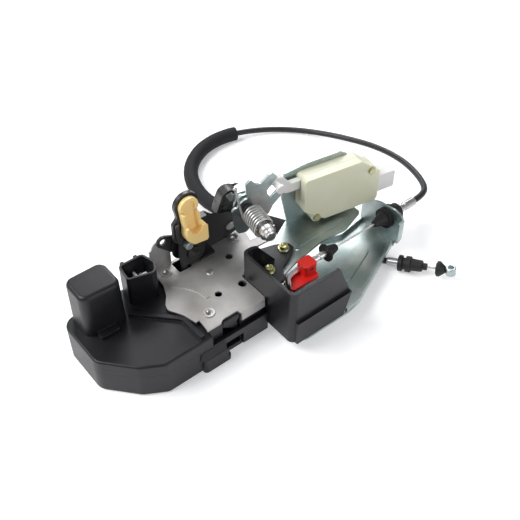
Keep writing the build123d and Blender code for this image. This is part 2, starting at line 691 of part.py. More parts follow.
SECTOR_Z = GEAR_Z + GEAR_T + 0.3
arm_len = math.dist(SECTOR_PIVOT, PAWL_PIVOT) - PAWL_TAIL
arm_rest = tail_line - 180 + SECTOR_TRAVEL / 2
sector_tooth = 2 * math.pi / SECTOR_TEETH
first_tooth = SECTOR_TEETH // 2 - 5

with BuildPart() as sector_lever:
    face = gear_face(plan(*SECTOR_PIVOT, SECTOR_Z), SECTOR_TEETH, MODULE, first_tooth, 11, sector_tooth / 2)
    extrude(face, amount=SECTOR_T)
    with BuildSketch(plan(*SECTOR_PIVOT, SECTOR_Z)):
        Circle(SECTOR_STUD_R + 4.0)
        with BuildLine():
            Line((0, 0), at_angle(arm_len + 1.5, arm_rest))
        trace(line_width=8.0)
        with BuildLine():
            Line(at_angle(arm_len - 0.2, arm_rest), at_angle(arm_len + 4, arm_rest))
        trace(line_width=2 * TAIL_PIN_R + 0.5, mode=Mode.SUBTRACT)
        with Locations(at_angle(arm_len - 0.2, arm_rest)):
            Circle(TAIL_PIN_R + 0.25, mode=Mode.SUBTRACT)
    extrude(amount=SECTOR_T)
    extrude(disc(plan(*SECTOR_PIVOT, SECTOR_Z), SECTOR_STUD_R + FIT), amount=SECTOR_T, mode=Mode.SUBTRACT)
write(sector_lever.part, "sector_lever")

# ---------------------------------------------------------------- guard round the cable end
GUARD_RIGHT = 96.0
GUARD_LINE = [
    (66.4, 8.6), (56.0, 9.6), (49.0, GUARD_REAR - GUARD_T / 2),
    (GUARD_LEFT + GUARD_T / 2, GUARD_REAR - GUARD_T / 2),
    (GUARD_LEFT + GUARD_T / 2, GUARD_FRONT + GUARD_T / 2), (GUARD_RIGHT, GUARD_FRONT + GUARD_T / 2),
]
GUARD_RADII = [4.0, 3.0, 3.0, 4.0]
DECK_CORNERS = [
    (GUARD_LEFT + 1, -12.0), (60.0, -12.0, 4.0), (66.0, -2.0, 5.0), (77.0, 3.0, 5.0), (87.0, 9.0, 4.0),
    (86.0, 18.0, 4.0), (76.0, 19.5, 4.0), (67.0, 11.0, 3.0), (56.0, 9.8), (49.0, 12.9),
    (GUARD_LEFT + 1, 12.9),
]
GUARD_SCREWS = [(79.8, 13.3), (56.6, 2.3)]
SCREW_R = 2.0
SCREW_HEAD_R = 3.6
SCREW_FLANGE_R = 4.6

with BuildPart() as guard:
    with BuildSketch(Plane.XY.offset(GUARD_BOTTOM_Z)):
        with BuildLine():
            FilletPolyline(*GUARD_LINE, radius=GUARD_RADII)
        trace(line_width=GUARD_T)
    extrude(amount=GUARD_TOP_Z - GUARD_BOTTOM_Z)
    # lower part of the front wall stands proud
    with BuildSketch(Plane.XY.offset(GUARD_BOTTOM_Z)):
        with Locations(((GUARD_LEFT + 3 + GUARD_RIGHT) / 2, GUARD_FRONT - GUARD_LEDGE / 2 + 0.1)):
            Rectangle(GUARD_RIGHT - GUARD_LEFT - 3, GUARD_LEDGE + 0.2)
    extrude(amount=GUARD_STEP_Z - GUARD_BOTTOM_Z)
    # open end: the front wall leans back, the rear wall falls to the deck
    with BuildSketch(facing_front(0, GUARD_REAR + 10, 0)):
        with BuildLine():
            Polyline(
                (83.5, GUARD_TOP_Z + 1), (83.5, GUARD_TOP_Z), (GUARD_RIGHT - 0.2, GUARD_STEP_Z),
                (GUARD_RIGHT - 7, GUARD_BOTTOM_Z), (GUARD_RIGHT - 7, GUARD_BOTTOM_Z - 1),
                (GUARD_RIGHT + 5, GUARD_BOTTOM_Z - 1), (GUARD_RIGHT + 5, GUARD_TOP_Z + 1), close=True,
            )
        make_face()
    extrude(amount=80.0, mode=Mode.SUBTRACT)
    with BuildSketch(facing_front(0, GUARD_REAR + 10, 0)):
        with BuildLine():
            Polyline((52.0, GUARD_TOP_Z + 1), (67.5, DECK_Z + DECK_T), (67.5, GUARD_TOP_Z + 1), close=True)
        make_face()
    extrude(amount=24.0, mode=Mode.SUBTRACT)
    # the rear wall stops above the back plate's edge
    with BuildSketch(Plane.XY.offset(GUARD_BOTTOM_Z)):
        with Locations((60.0, GUARD_REAR)):
            Rectangle(41.0, 12.0)
        with Locations((GUARD_LEFT + GUARD_T / 2, GUARD_REAR)):
            Rectangle(GUARD_T + 0.4, 10.0)
    extrude(amount=-GUARD_BOTTOM_Z + 0.05, mode=Mode.SUBTRACT)
    extrude(outline(Plane.XY.offset(DECK_Z), DECK_CORNERS), amount=DECK_T)
    with BuildSketch(Plane.XY.offset(DECK_Z)):
        with Locations(*GUARD_SCREWS):
            Circle(SCREW_R)
    extrude(amount=DECK_T, mode=Mode.SUBTRACT)
write(guard.part, "guard")

with BuildPart() as guard_screws:
    for x, y in GUARD_SCREWS:
        extrude(disc(plan(x, y, DECK_Z + DECK_T), SCREW_FLANGE_R), amount=0.8)
        with BuildSketch(plan(x, y, DECK_Z + DECK_T)):
            RegularPolygon(SCREW_HEAD_R, 6)
        extrude(amount=3.4)
        extrude(disc(plan(x, y, DECK_Z + DECK_T), SCREW_R), amount=-DECK_T - 2.6)
write(guard_screws.part, "guard_screws")

# ---------------------------------------------------------------- actuator bracket (zinc, upright flange)
STRIP_Z = 0.5
STRIP_T = DECK_Z - STRIP_Z
STRIP_CORNERS = [
    (54.0, -8.0, 3.0), (66.0, -6.0), (79.0, -2.0), (108.5, 3.0, 4.0), (133.5, 1.6), (156.0, 9.0, 3.0),
    (156.0, 28.2),
    (102.0, 37.7), (84.0, 28.0, 3.0), (78.0, 19.0), (69.2, 10.4), (66.8, 6.6), (54.0, 6.0, 3.0),
]
BEAD_LINE = [(92.0, 12.0), (136.0, 12.5)]
LOCK_FLANGE_S = (34.0, 92.0)

with BuildPart() as actuator_bracket:
    extrude(outline(Plane.XY.offset(STRIP_Z), STRIP_CORNERS), amount=STRIP_T)
    # upright flange that carries the lock actuator
    with BuildSketch(stack(-CASE_T + CASE_FRONT, 0, -PIVOT[2])) as flange_face:
        with BuildLine():
            Polyline(
                (LOCK_FLANGE_S[0] + 6, STRIP_Z), (LOCK_FLANGE_S[0], 30.0), (LOCK_FLANGE_S[0] + 2, 52.0),
                (LOCK_FLANGE_S[0] + 22, 55.0), (LOCK_FLANGE_S[1] - 8, 55.0), (LOCK_FLANGE_S[1], 50.0),
                (LOCK_FLANGE_S[1], STRIP_Z), close=True,
            )
        make_face()
    extrude(amount=-STRIP_T)
    with BuildSketch(Plane.XY.offset(STRIP_Z)):
        with Locations(GUARD_SCREWS[0], GUARD_SCREWS[1]):
            Circle(SCREW_R)
        with Locations((88.8, 8.2)):
            Circle(1.6)
    extrude(amount=STRIP_T, mode=Mode.SUBTRACT)
    with BuildSketch(Plane.XY.offset(STRIP_Z + STRIP_T - 0.1)):
        with BuildLine():
            Line(*BEAD_LINE)
        trace(line_width=7.0)
        with Locations(BEAD_LINE[1]):
            Circle(3.5)
    extrude(amount=0.9)
write(actuator_bracket.part, "actuator_bracket")

# ---------------------------------------------------------------- cable bracket (zinc channel)
BRACKET_CORNERS = [
    (42.0, -24.0, 3.0), (45.0, -40.0, 6.0), (52.0, -46.0, 5.0), (96.0, -46.0), (107.0, -44.0, 6.0),
    (BRACKET_END, -15.5, 1.0), (BRACKET_END, 22.0, 1.0), (160.0, 20.0, 8.0), (144.5, 17.5, 8.0),
    (128.0, 24.0, 8.0),
    (96.0, 22.0, 8.0), (64.0, 14.0, 8.0), (42.0, 12.0, 3.0),
]
END_PROFILE = [
    (22.0, BRACKET_FLOOR_Z), (22.0, -8.0, 4.0), (14.3, 2.6, 8.0), (4.0, 7.0, 8.0), (-13.0, 9.5, 6.0),
    (-21.0, 8.0, 5.0), (-22.0, -12.0, 6.0), (-16.0, BRACKET_FLOOR_Z),
]
GROMMET_R = 6.5
EMBOSS_END = (146.0, -5.0)
EMBOSS_ROOT = (117.0, -17.0)

with BuildPart() as cable_bracket:
    extrude(outline(Plane.XY.offset(BRACKET_FLOOR_Z - BRACKET_T), BRACKET_CORNERS), amount=BRACKET_T)
    # lip along the slanted front edge
    with BuildSketch(Plane.XY.offset(BRACKET_FLOOR_Z)):
        with BuildLine():
            FilletPolyline((92.5, -45.1), (107.0, -43.1), (BRACKET_END, -14.6), radius=6.0)
        trace(line_width=BRACKET_T)
        with BuildLine():
            FilletPolyline((BRACKET_END, 21.0), (160.0, 19.2), (144.5, 16.7), (128.0, 23.2), radius=8.0)
        trace(line_width=BRACKET_T)
    extrude(amount=LIP_H)
    # end flange with its inward return
    extrude(outline(along_x(BRACKET_END - 0.1, 0, 0), END_PROFILE), amount=BRACKET_T)
    with BuildSketch(Plane.XY.offset(BRACKET_FLOOR_Z - BRACKET_T)):
        with Locations((BRACKET_END + BRACKET_T / 2 - 0.1, 2.5)):
            Rectangle(BRACKET_T, 37.0)
    extrude(amount=BRACKET_T + 1)
    with BuildSketch(facing_front(BRACKET_END - 4, -21.0, 0)):
        with BuildLine():
            Polyline((0, BRACKET_FLOOR_Z + 8), (0, 3), (5, 5), (5, -14), (2, BRACKET_FLOOR_Z + 8), close=True)
        make_face()
    extrude(amount=BRACKET_T)
    # upright tab screwed to the housing's end wall
    with BuildSketch(along_x(HOUSE_RIGHT + GUARD_T + 0.05, 0, 0)):
        with Locations((-4.0, (BRACKET_FLOOR_Z - 8.0) / 2)):
            RectangleRounded(16.0, -8.0 - BRACKET_FLOOR_Z, 2.0)
    extrude(amount=BRACKET_T)
    # rounded embossed rib
    with BuildSketch(Plane.XY.offset(BRACKET_FLOOR_Z - 0.1)):
        with BuildLine():
            Line(EMBOSS_ROOT, EMBOSS_END)
        trace(line_width=13.0)
        with Locations(EMBOSS_END, EMBOSS_ROOT):
            Circle(6.5)
    extrude(amount=1.3, taper=20)
    # holes: the grommet's seat, then the screw holes of the tab
    extrude(disc(along_x(BRACKET_END - 1, CABLE_Y, CABLE_Z), GROMMET_R), amount=4.0, mode=Mode.SUBTRACT)
    with BuildSketch(along_x(HOUSE_RIGHT + GUARD_T, 0, 0)):
        with Locations((-9.0, -14.0), (1.0, -14.0)):
            Circle(SCREW_R)
    extrude(amount=BRACKET_T + 1, mode=Mode.SUBTRACT)
write(cable_bracket.part, "cable_bracket")

with BuildPart() as bracket_screws:
    for y, z in ((-9.0, -14.0), (1.0, -14.0)):
        head = HOUSE_RIGHT + GUARD_T + 0.05 + BRACKET_T
        extrude(disc(along_x(head, y, z), 3.4), amount=2.2)
        extrude(disc(along_x(head, y, z), SCREW_R), amount=-BRACKET_T)
write(bracket_screws.part, "bracket_screws")

# ---------------------------------------------------------------- lever bracket, handle lever, key lever
HUB_PIN_R = 4.0
KEY_T = 1.7
KEY_Y = LEVER_BRACKET_Y + LEVER_BRACKET_T + 0.2
KEY_TIP = (1.5, 26.0)
RIVET_AT = (60.4, 10.7)
BRACKET_PROFILE = [
    (19.0, 0.0), (58.0, 0.0), (69.4, 4.0, 6.0), (69.4, 19.0, 8.0), (57.0, 26.0, 4.0), (45.0, 30.0, 5.0),
    (38.0, 37.0, 4.0), (22.0, 37.0, 4.0), (8.2, 22.0, 6.0), (8.2, 8.0, 5.0),
]

with BuildPart() as lever_bracket:
    extrude(
        outline(facing_front(0, LEVER_BRACKET_Y + LEVER_BRACKET_T, 0), BRACKET_PROFILE),
        amount=LEVER_BRACKET_T,
    )
    # top tab, folded to the front
    with BuildSketch(facing_front(0, LEVER_BRACKET_Y, 0)):
        with Locations((31.0, 36.2)):
            Rectangle(12.0, 1.6)
    extrude(amount=4.0)
    # feet, folded to the rear and lying on the plate
    with BuildSketch(Plane.XY):
        with Locations((33.0, LEVER_BRACKET_Y - 4.0 + 0.5)):
            RectangleRounded(14.0, 9.0, 1.0)
    extrude(amount=LEVER_BRACKET_T)
    with BuildSketch(facing_front(0, LEVER_BRACKET_Y + LEVER_BRACKET_T, 0)):
        with Locations(HUB):
            Circle(HUB_PIN_R)
        with Locations(RIVET_AT):
            Circle(2.5)
    extrude(amount=LEVER_BRACKET_T, mode=Mode.SUBTRACT)
write(lever_bracket.part, "lever_bracket")

HUB_BOSS_R = 8.0
PIN_HEAD_R = 5.4
with BuildPart() as hub_pin:
    extrude(
        disc(facing_front(HUB[0], KEY_Y + KEY_T + FIT, HUB[1]), HUB_PIN_R),
        amount=KEY_Y + KEY_T - HANDLE_Y + 2 * FIT,
    )
    extrude(disc(facing_front(HUB[0], HANDLE_Y - FIT, HUB[1]), PIN_HEAD_R), amount=1.2)
    extrude(disc(facing_front(HUB[0], KEY_Y + KEY_T + FIT, HUB[1]), PIN_HEAD_R), amount=-1.2)
write(hub_pin.part, "hub_pin")

with BuildPart() as bracket_rivet:
    with BuildSketch(facing_front(RIVET_AT[0], LEVER_BRACKET_Y, RIVET_AT[1])):
        Ellipse(4.6, 3.6)
    extrude(amount=1.4)
    fillet(bracket_rivet.faces().sort_by(Axis.Y)[0].edges(), 0.7)
    extrude(disc(facing_front(RIVET_AT[0], LEVER_BRACKET_Y, RIVET_AT[1]), 2.5), amount=-LEVER_BRACKET_T - 2.0)
write(bracket_rivet.part, "bracket_rivet")

EYE_BORE = CLIP_HUB_R + 0.1
STOP_PIN = (15.5, 24.0)
HANDLE_PROFILE = [
    (HUB[0] + 9.8, HUB[1] + 2.0), (26.6, 26.0, 6.0), (26.2, 46.0, 8.0), (EYE[0] + 9.6, EYE[1] - 2),
    (EYE[0] - 9.6, EYE[1] - 2),
    (9.6, 50.0, 3.0), (5.6, 46.0, 3.0), (6.0, 30.0, 3.0), (10.4, 26.0, 3.0), (HUB[0] - 10.6, HUB[1] + 2.0),
]
TAIL_PROFILE = [(10.4, 14.0), (10.2, -9.0, 1.5), (14.0, -10.0, 1.5), (15.0, 2.0), (17.0, 8.0)]
with BuildPart() as handle_lever:
    handle_plane = facing_front(0, HANDLE_Y + HANDLE_T, 0)
    extrude(outline(handle_plane, HANDLE_PROFILE), amount=HANDLE_T)
    extrude(outline(handle_plane, TAIL_PROFILE), amount=HANDLE_T)
    with BuildSketch(handle_plane):
        with Locations(HUB):
            Circle(11.0)
        with Locations(EYE):
            Circle(EYE_R)
    extrude(amount=HANDLE_T)
    # pressed step between the neck and the side flange
    with BuildSketch(facing_front(0, HANDLE_Y, 0)):
        with BuildLine():
            Polyline((8.6, 30.0), (9.6, 47.0), (6.6, 45.5), (7.0, 31.0), close=True)
        make_face()
    extrude(amount=2.0)
    extrude(
        disc(facing_front(HUB[0], LEVER_BRACKET_Y - FIT, HUB[1]), HUB_BOSS_R),
        amount=LEVER_BRACKET_Y - HANDLE_Y - FIT,
    )
    extrude(
        disc(facing_front(HUB[0], LEVER_BRACKET_Y, HUB[1]), HUB_PIN_R + FIT), amount=10.0,
        mode=Mode.SUBTRACT,
    )
    extrude(disc(facing_front(EYE[0], LEVER_BRACKET_Y, EYE[1]), EYE_BORE), amount=10.0, mode=Mode.SUBTRACT)
    extrude(
        disc(facing_front(STOP_PIN[0], HANDLE_Y + HANDLE_T, STOP_PIN[1]), 1.8), amount=HANDLE_T,
        mode=Mode.SUBTRACT,
    )
write(handle_lever.part, "handle_lever")

with BuildPart() as stop_pin:
    extrude(disc(facing_front(STOP_PIN[0], HANDLE_Y, STOP_PIN[1]), 3.2), amount=4.6)
    chamfer(stop_pin.faces().sort_by(Axis.Y)[0].edges(), 0.5)
    extrude(disc(facing_front(STOP_PIN[0], HANDLE_Y, STOP_PIN[1]), 1.8), amount=-HANDLE_T)
write(stop_pin.part, "stop_pin")

with BuildPart() as key_lever:
    with BuildSketch(facing_front(0, KEY_Y + KEY_T, 0)):
        with Locations(HUB):
            Circle(9.0)
        with Locations(KEY_TIP):
            Circle(5.0)
        with BuildLine():
            Polyline((HUB[0] - 6.6, HUB[1] - 6.0), (KEY_TIP[0] - 2.6, KEY_TIP[1] - 4.3),
                     (KEY_TIP[0] + 2.4, KEY_TIP[1] + 4.4),
                     (HUB[0] + 3.0, HUB[1] + 8.6), close=True)
        make_face()
        with Locations(HUB):
            Circle(HUB_PIN_R + FIT, mode=Mode.SUBTRACT)
        with Locations(KEY_TIP):
            Circle(2.5, mode=Mode.SUBTRACT)
    extrude(amount=KEY_T)
write(key_lever.part, "key_lever")

# rod clip: a hub in the handle lever's eye, a channel for the rod and a foot
CLIP_FRONT = 38.0
CLIP_BACK = HANDLE_Y - 1.4
CLIP_CHANNEL = [
    (14.4, 62.0, 2.0), (24.6, 62.0, 4.0), (29.2, 34.0), (31.5, 24.0, 2.0), (20.5, 24.0, 2.0), (19.9, 34.0),
]
CLIP_FOOT = [(21.0, 17.0, 1.5), (34.0, 17.0, 1.5), (34.0, 26.0, 2.0), (29.0, 31.0, 2.0), (20.5, 30.0)]
with BuildPart() as rod_clip:
    extrude(outline(facing_front(0, CLIP_BACK, 0), CLIP_CHANNEL), amount=CLIP_BACK - CLIP_FRONT)
    extrude(outline(facing_front(0, CLIP_BACK, 0), CLIP_FOOT), amount=CLIP_BACK - CLIP_FRONT)
    extrude(
        disc(facing_front(EYE[0], HANDLE_Y - SEAT, EYE[1]), 8.2),
        amount=HANDLE_Y - SEAT - CLIP_FRONT - 1.5,
    )
    # rod channel, open to the front
    with BuildSketch(facing_front(0, CLIP_BACK - 2.2, 0)):
        with BuildLine():
            Polyline((19.5, 60.0), (24.7, 32.0), (26.0, 23.0))
        trace(line_width=5.6)
    extrude(amount=10.0, mode=Mode.SUBTRACT)
    extrude(
        disc(facing_front(EYE[0], HANDLE_Y + HANDLE_T + 1.2, EYE[1]), CLIP_HUB_R),
        amount=HANDLE_T + 1.2 + SEAT + 1,
    )
    extrude(disc(facing_front(EYE[0], HANDLE_Y + HANDLE_T + 1.6, EYE[1]), 7.4), amount=1.2)
    extrude(disc(facing_front(EYE[0], HANDLE_Y + 10, EYE[1]), 2.6), amount=30.0, mode=Mode.SUBTRACT)
write(rod_clip.part, "rod_clip")

# ---------------------------------------------------------------- lever stack on the pivot pin
PIN_FRONT = 36.0
PIN_BACK = -23.0
PIVOT_PLATE_OFF = -21.0
STRAP_R = 18.0
with BuildPart() as pivot_pin:
    with BuildSketch(stack(PIN_BACK)):
        Circle(PIN_R)
    extrude(amount=PIN_FRONT - PIN_BACK)
    extrude(disc(stack(28.6), 6.2), amount=2.6)
    extrude(disc(stack(31.2), 4.8), amount=3.0)

    extrude(disc(stack(PIN_BACK), 5.6), amount=-1.4)
write(pivot_pin.part, "pivot_pin")

with BuildPart() as pivot_bracket:
    with BuildSketch(stack(PIVOT_PLATE_OFF)):
        with BuildLine():
            CenterArc((0, 0), STRAP_R, 95, 100)
        trace(line_width=8.0)
        with BuildLine():
            Polyline((-22.0, 0.0), (-16.0, -14.0), (-14.0, -20.0), (-5.2, -16.4), (8.0, -14.0),
                     (10.0, -8.0), (8.0, 8.0), (0.0, 21.6), (-6.0, 16.0), close=True)
        make_face()
        Circle(PIN_R, mode=Mode.SUBTRACT)
    extrude(amount=-2.0)
    # lower tab, riveted behind the lever bracket
    with BuildSketch(facing_front(0, LEVER_BRACKET_Y + LEVER_BRACKET_T + 2.0, 0)):
        with BuildLine():
            Polyline(
                (52.5, 3.0), (68.5, 3.0), (72.0, 22.0), (71.0, 30.0), (54.0, 30.0), (52.5, 20.0),
                close=True,
            )
        make_face()
    extrude(amount=2.0)
    extrude(
        disc(facing_front(RIVET_AT[0], LEVER_BRACKET_Y + LEVER_BRACKET_T + 2.0, RIVET_AT[1]), 2.5),
        amount=2.0, mode=Mode.SUBTRACT,
    )
write(pivot_bracket.part, "pivot_bracket")

FORKED_PROFILE = [
    (0.1, 7.2), (-0.8, 22.0, 1.5), (2.8, 25.0, 1.5), (6.8, 19.5, 2.5), (11.0, 18.3, 2.5),
    (17.4, 23.8, 1.5), (21.0, 24.2, 1.2),
    (24.9, 19.4, 1.0), (15.9, 10.2), (18.8, 1.8), (28.6, 10.0, 1.2), (32.2, 4.6, 1.2), (21.0, -6.0, 3.0),
    (17.6, -13.0, 2.0), (12.0, -12.0, 2.0),
    (7.0, -4.4),
]
SLOT_LINE = ((15.1, 3.8), 42.0)
T_PIN = at_angle(12.5, SLOT_LINE[1], SLOT_LINE[0])
T_PIN_R = 2.6
with BuildPart() as lock_lever:
    extrude(outline(stack(-LEVER_T / 2), FORKED_PROFILE), amount=LEVER_T)
    with BuildSketch(stack(-LEVER_T / 2)):
        Circle(8.6)
        with Locations(at_angle(9.5, 178)):
            Circle(3.0)
    extrude(amount=LEVER_T)
    with BuildSketch(stack(-LEVER_T / 2)):
        with BuildLine():
            Line(at_angle(5.6, SLOT_LINE[1], SLOT_LINE[0]), at_angle(40.0, SLOT_LINE[1], SLOT_LINE[0]))
        trace(line_width=2 * T_PIN_R + 1.2)
        with Locations(at_angle(5.6, SLOT_LINE[1], SLOT_LINE[0])):
            Circle(T_PIN_R + 0.6)
        Circle(PIN_R + FIT)
    extrude(amount=LEVER_T, mode=Mode.SUBTRACT)
write(lock_lever.part, "lock_lever")

with BuildPart() as pivot_bush:
    extrude(disc(stack(LEVER_T / 2 + FIT), 5.0, bore=PIN_R + 0.02), amount=3.6)
write(pivot_bush.part, "pivot_bush")

with BuildPart() as pivot_spacer:
    extrude(disc(stack(-12.0), 4.6, bore=PIN_R + 0.02), amount=12.0 - 6.3)
    with BuildSketch(stack(PIVOT_PLATE_OFF + FIT)):
        RectangleRounded(10.5, 10.5, 1.0)
        Circle(PIN_R + 0.02, mode=Mode.SUBTRACT)
    extrude(amount=-12.0 - PIVOT_PLATE_OFF - FIT)
write(pivot_spacer.part, "pivot_spacer")

SPRING_R = 7.1
SPRING_WIRE_R = 0.9
SPRING_BEND_R = 1.05
SPRING_FROM = 6.3
SPRING_TURNS = 6.0
SPRING_PITCH = 3.4
spring_start = Vector(*PIVOT) + TO_FRONT * SPRING_FROM
SPRING_TIP = 24.0
with BuildPart() as spring_flat:
    with BuildLine() as turns:
        Helix(pitch=SPRING_PITCH, height=SPRING_PITCH * SPRING_TURNS, radius=SPRING_R)
    with BuildSketch(Plane(origin=turns.line @ 0, z_dir=turns.line % 0)):
        Circle(SPRING_WIRE_R)
    sweep()
    # the leg rises beside the forked lever from the bend at the end of the first turn
    with Locations((SPRING_R, 0, 0)):
        Sphere(SPRING_BEND_R)
    with BuildSketch(Plane(origin=(SPRING_R, 0, 0), z_dir=(0, -1, 0))):
        Circle(SPRING_WIRE_R)
    extrude(amount=SPRING_TIP)
    with Locations((SPRING_R, -SPRING_TIP, 0)):
        Sphere(1.7)
spring_base = Plane(origin=spring_start, x_dir=-ALONG, z_dir=TO_FRONT)
spring_part = spring_flat.part.moved(spring_base.location)
write(spring_part, "torsion_spring")

CAM_PROFILE = [
    (-8.0, 2.0), (-9.0, -14.0, 5.0), (-6.0, -27.5, 4.0), (3.0, -28.5, 4.0), (6.5, -16.0, 5.0), (8.0, 2.0),
]
CAM_HOLE = (0.5, -14.0)
with BuildPart() as cam_lever:
    extrude(outline(stack(-6.2), CAM_PROFILE), amount=LEVER_T)
    extrude(disc(stack(-6.2), 8.4), amount=LEVER_T)
    extrude(disc(stack(-6.2), PIN_R + FIT), amount=LEVER_T, mode=Mode.SUBTRACT)
    extrude(disc(stack(-6.2, *CAM_HOLE), 1.6), amount=LEVER_T, mode=Mode.SUBTRACT)
write(cam_lever.part, "cam_lever")

# ---------------------------------------------------------------- lock actuator
CASE_CORNERS = [
    (CASE_START, 21.0 - PIVOT[2], 2.0), (65.0, CASE_Z - PIVOT[2], 4.0),
    (CASE_START + CASE_W, CASE_Z - PIVOT[2], 3.0),
    (CASE_START + CASE_W, 35.0 - PIVOT[2], 3.0), (96.0, CASE_Z + CASE_H - PIVOT[2], 3.0),
    (CASE_START, CASE_Z + CASE_H - PIVOT[2], 3.0),
]
CASE_MID = -1.0
RACK_PITCH_V = -2.8
RACK_MODULE = 0.5
RACK_PINION_TEETH = 16
LOCK_WHEEL_TEETH = 48
LOCK_MOTOR_TEETH = 8
LOCK_PINION_AT = (62.0, RACK_PITCH_V - RACK_MODULE * RACK_PINION_TEETH / 2)
LOCK_MOTOR_AT = at_angle(RACK_MODULE * (LOCK_WHEEL_TEETH + LOCK_MOTOR_TEETH) / 2, -50, LOCK_PINION_AT)
CASE_SCREWS = [(57.5, 11.5 - PIVOT[2]), (105.5, 38.5 - PIVOT[2])]
ARM_BACK = -6.0
ARM_T = 4.5
ARM_V = (-2.0, 6.0)


def case_half(off, depth, skin_front):
    """One half of the lock actuator's case between two planes, hollow, with its skin on one side."""
    with BuildPart() as half:
        extrude(outline(stack(off), CASE_CORNERS), amount=depth)
        inner = off if skin_front else off + CASE_WALL
        extrude(outline(stack(inner), CASE_CORNERS, CASE_WALL), amount=depth - CASE_WALL, mode=Mode.SUBTRACT)
        for s, v in CASE_SCREWS:
            extrude(disc(stack(off), 4.2, (s, v)), amount=depth)
            extrude(disc(stack(off), 1.5, (s, v)), amount=depth, mode=Mode.SUBTRACT)
        # opening for the arm in the end wall
        with BuildSketch(stack(ARM_BACK - SEAT)):
            with Locations((CASE_START, (ARM_V[0] + ARM_V[1]) / 2)):
                Rectangle(8.0, ARM_V[1] - ARM_V[0] + 2 * SEAT)
        extrude(amount=ARM_T + 2 * SEAT, mode=Mode.SUBTRACT)
    return half.part


CASE_BACK = CASE_FRONT - CASE_T
write(case_half(CASE_MID, CASE_FRONT - CASE_MID, True), "lock_case_front")
write(case_half(CASE_BACK, CASE_MID - CASE_BACK, False), "lock_case_rear")

with BuildPart() as lock_screws:
    for s, v in CASE_SCREWS:
        extrude(disc(stack(CASE_FRONT), 2.8, (s, v)), amount=1.8)
        extrude(disc(stack(CASE_FRONT), 1.5, (s, v)), amount=-CASE_T)
write(lock_screws.part, "lock_screws")

SOCKET_S = (CASE_START + CASE_W, CASE_START + CASE_W + 16.0)
SOCKET_V = (13.0 - PIVOT[2], 29.0 - PIVOT[2])
with BuildPart() as lock_connector:
    with BuildSketch(stack(CASE_BACK + 1.0)):
        with Locations((sum(SOCKET_S) / 2, sum(SOCKET_V) / 2)):
            RectangleRounded(SOCKET_S[1] - SOCKET_S[0], SOCKET_V[1] - SOCKET_V[0], 2.0)
    extrude(amount=CASE_T - 2.0)
    with BuildSketch(stack(CASE_BACK + 1.0 + 1.4)):
        with Locations((SOCKET_S[0] + 3 + 10, sum(SOCKET_V) / 2)):
            Rectangle(20.0, SOCKET_V[1] - SOCKET_V[0] - 2.8)
    extrude(amount=CASE_T - 4.8, mode=Mode.SUBTRACT)
write(lock_connector.part, "lock_connector")

LOCK_MOTOR_R = 9.0
WHEEL_OFF = -1.4
WHEEL_T = 2.6
with BuildPart() as lock_motor:
    extrude(
        disc(stack(CASE_BACK + CASE_WALL), LOCK_MOTOR_R, LOCK_MOTOR_AT),
        amount=WHEEL_OFF - SEAT - CASE_BACK - CASE_WALL,
    )
    extrude(disc(stack(-4.0), 1.05, LOCK_MOTOR_AT), amount=8.0, mode=Mode.SUBTRACT)
write(lock_motor.part, "lock_motor")


def pinned(plane_off, centre):
    """Plane across the stack with its origin at a point of the lock actuator."""
    return stack(plane_off, centre[0], centre[1])


with BuildPart() as lock_motor_gear:
    extrude(
        gear_face(pinned(WHEEL_OFF, LOCK_MOTOR_AT), LOCK_MOTOR_TEETH, RACK_MODULE, phase=math.radians(130)),
        amount=WHEEL_T,
    )
    extrude(disc(pinned(WHEEL_OFF, LOCK_MOTOR_AT), 1.0), amount=-2.4)
write(lock_motor_gear.part, "lock_motor_gear")

lock_phase = math.radians(-50) + math.pi / LOCK_WHEEL_TEETH
with BuildPart() as lock_pinion:
    extrude(
        gear_face(pinned(WHEEL_OFF, LOCK_PINION_AT), LOCK_WHEEL_TEETH, RACK_MODULE, phase=lock_phase),
        amount=WHEEL_T,
    )
    extrude(
        gear_face(pinned(ARM_BACK + 0.2, LOCK_PINION_AT), RACK_PINION_TEETH, RACK_MODULE, phase=math.pi / 2),
        amount=WHEEL_OFF - ARM_BACK,
    )
    extrude(disc(pinned(ARM_BACK - 1, LOCK_PINION_AT), 1.5 + FIT), amount=20.0, mode=Mode.SUBTRACT)
write(lock_pinion.part, "lock_pinion")

with BuildPart() as lock_axle:
    extrude(disc(pinned(CASE_BACK + CASE_WALL, LOCK_PINION_AT), 1.5), amount=CASE_T - 2 * CASE_WALL)
write(lock_axle.part, "lock_axle")

RACK_TOOTH = math.pi * RACK_MODULE
RACK_S = (53.0, 69.0)
with BuildPart() as lock_plunger:
    with BuildSketch(stack(ARM_BACK)):
        with BuildLine():
            Polyline(
                (26.0, T_PIN[1] - 4.2), (33.0, ARM_V[0] + 0.5), (40.0, ARM_V[0]), (70.5, ARM_V[0]),
                (70.5, ARM_V[1]), (38.0, ARM_V[1]),
                (30.0, T_PIN[1] + 2.4), (T_PIN[0], T_PIN[1] + 4.4), (T_PIN[0] - 4.0, T_PIN[1]), close=True,
            )
        make_face()
        count = int((RACK_S[1] - RACK_S[0]) / RACK_TOOTH)
        for k in range(-(count // 2), count // 2 + 1):
            # teeth hang below the bar; the spaces straddle the pinion's tooth
            mid = LOCK_PINION_AT[0] + (k + 0.5) * RACK_TOOTH
            with BuildLine():
                Polyline(
                    (mid - 0.56, ARM_V[0] + 0.01), (mid - 0.2, RACK_PITCH_V - 0.45),
                    (mid + 0.2, RACK_PITCH_V - 0.45),
                    (mid + 0.56, ARM_V[0] + 0.01), close=True,
                )
            make_face()
    extrude(amount=ARM_T)
    extrude(disc(stack(ARM_BACK), T_PIN_R, T_PIN), amount=7.5 - ARM_BACK)
    extrude(disc(stack(5.2), T_PIN_R + 1.0, T_PIN), amount=2.6)
write(lock_plunger.part, "lock_plunger")


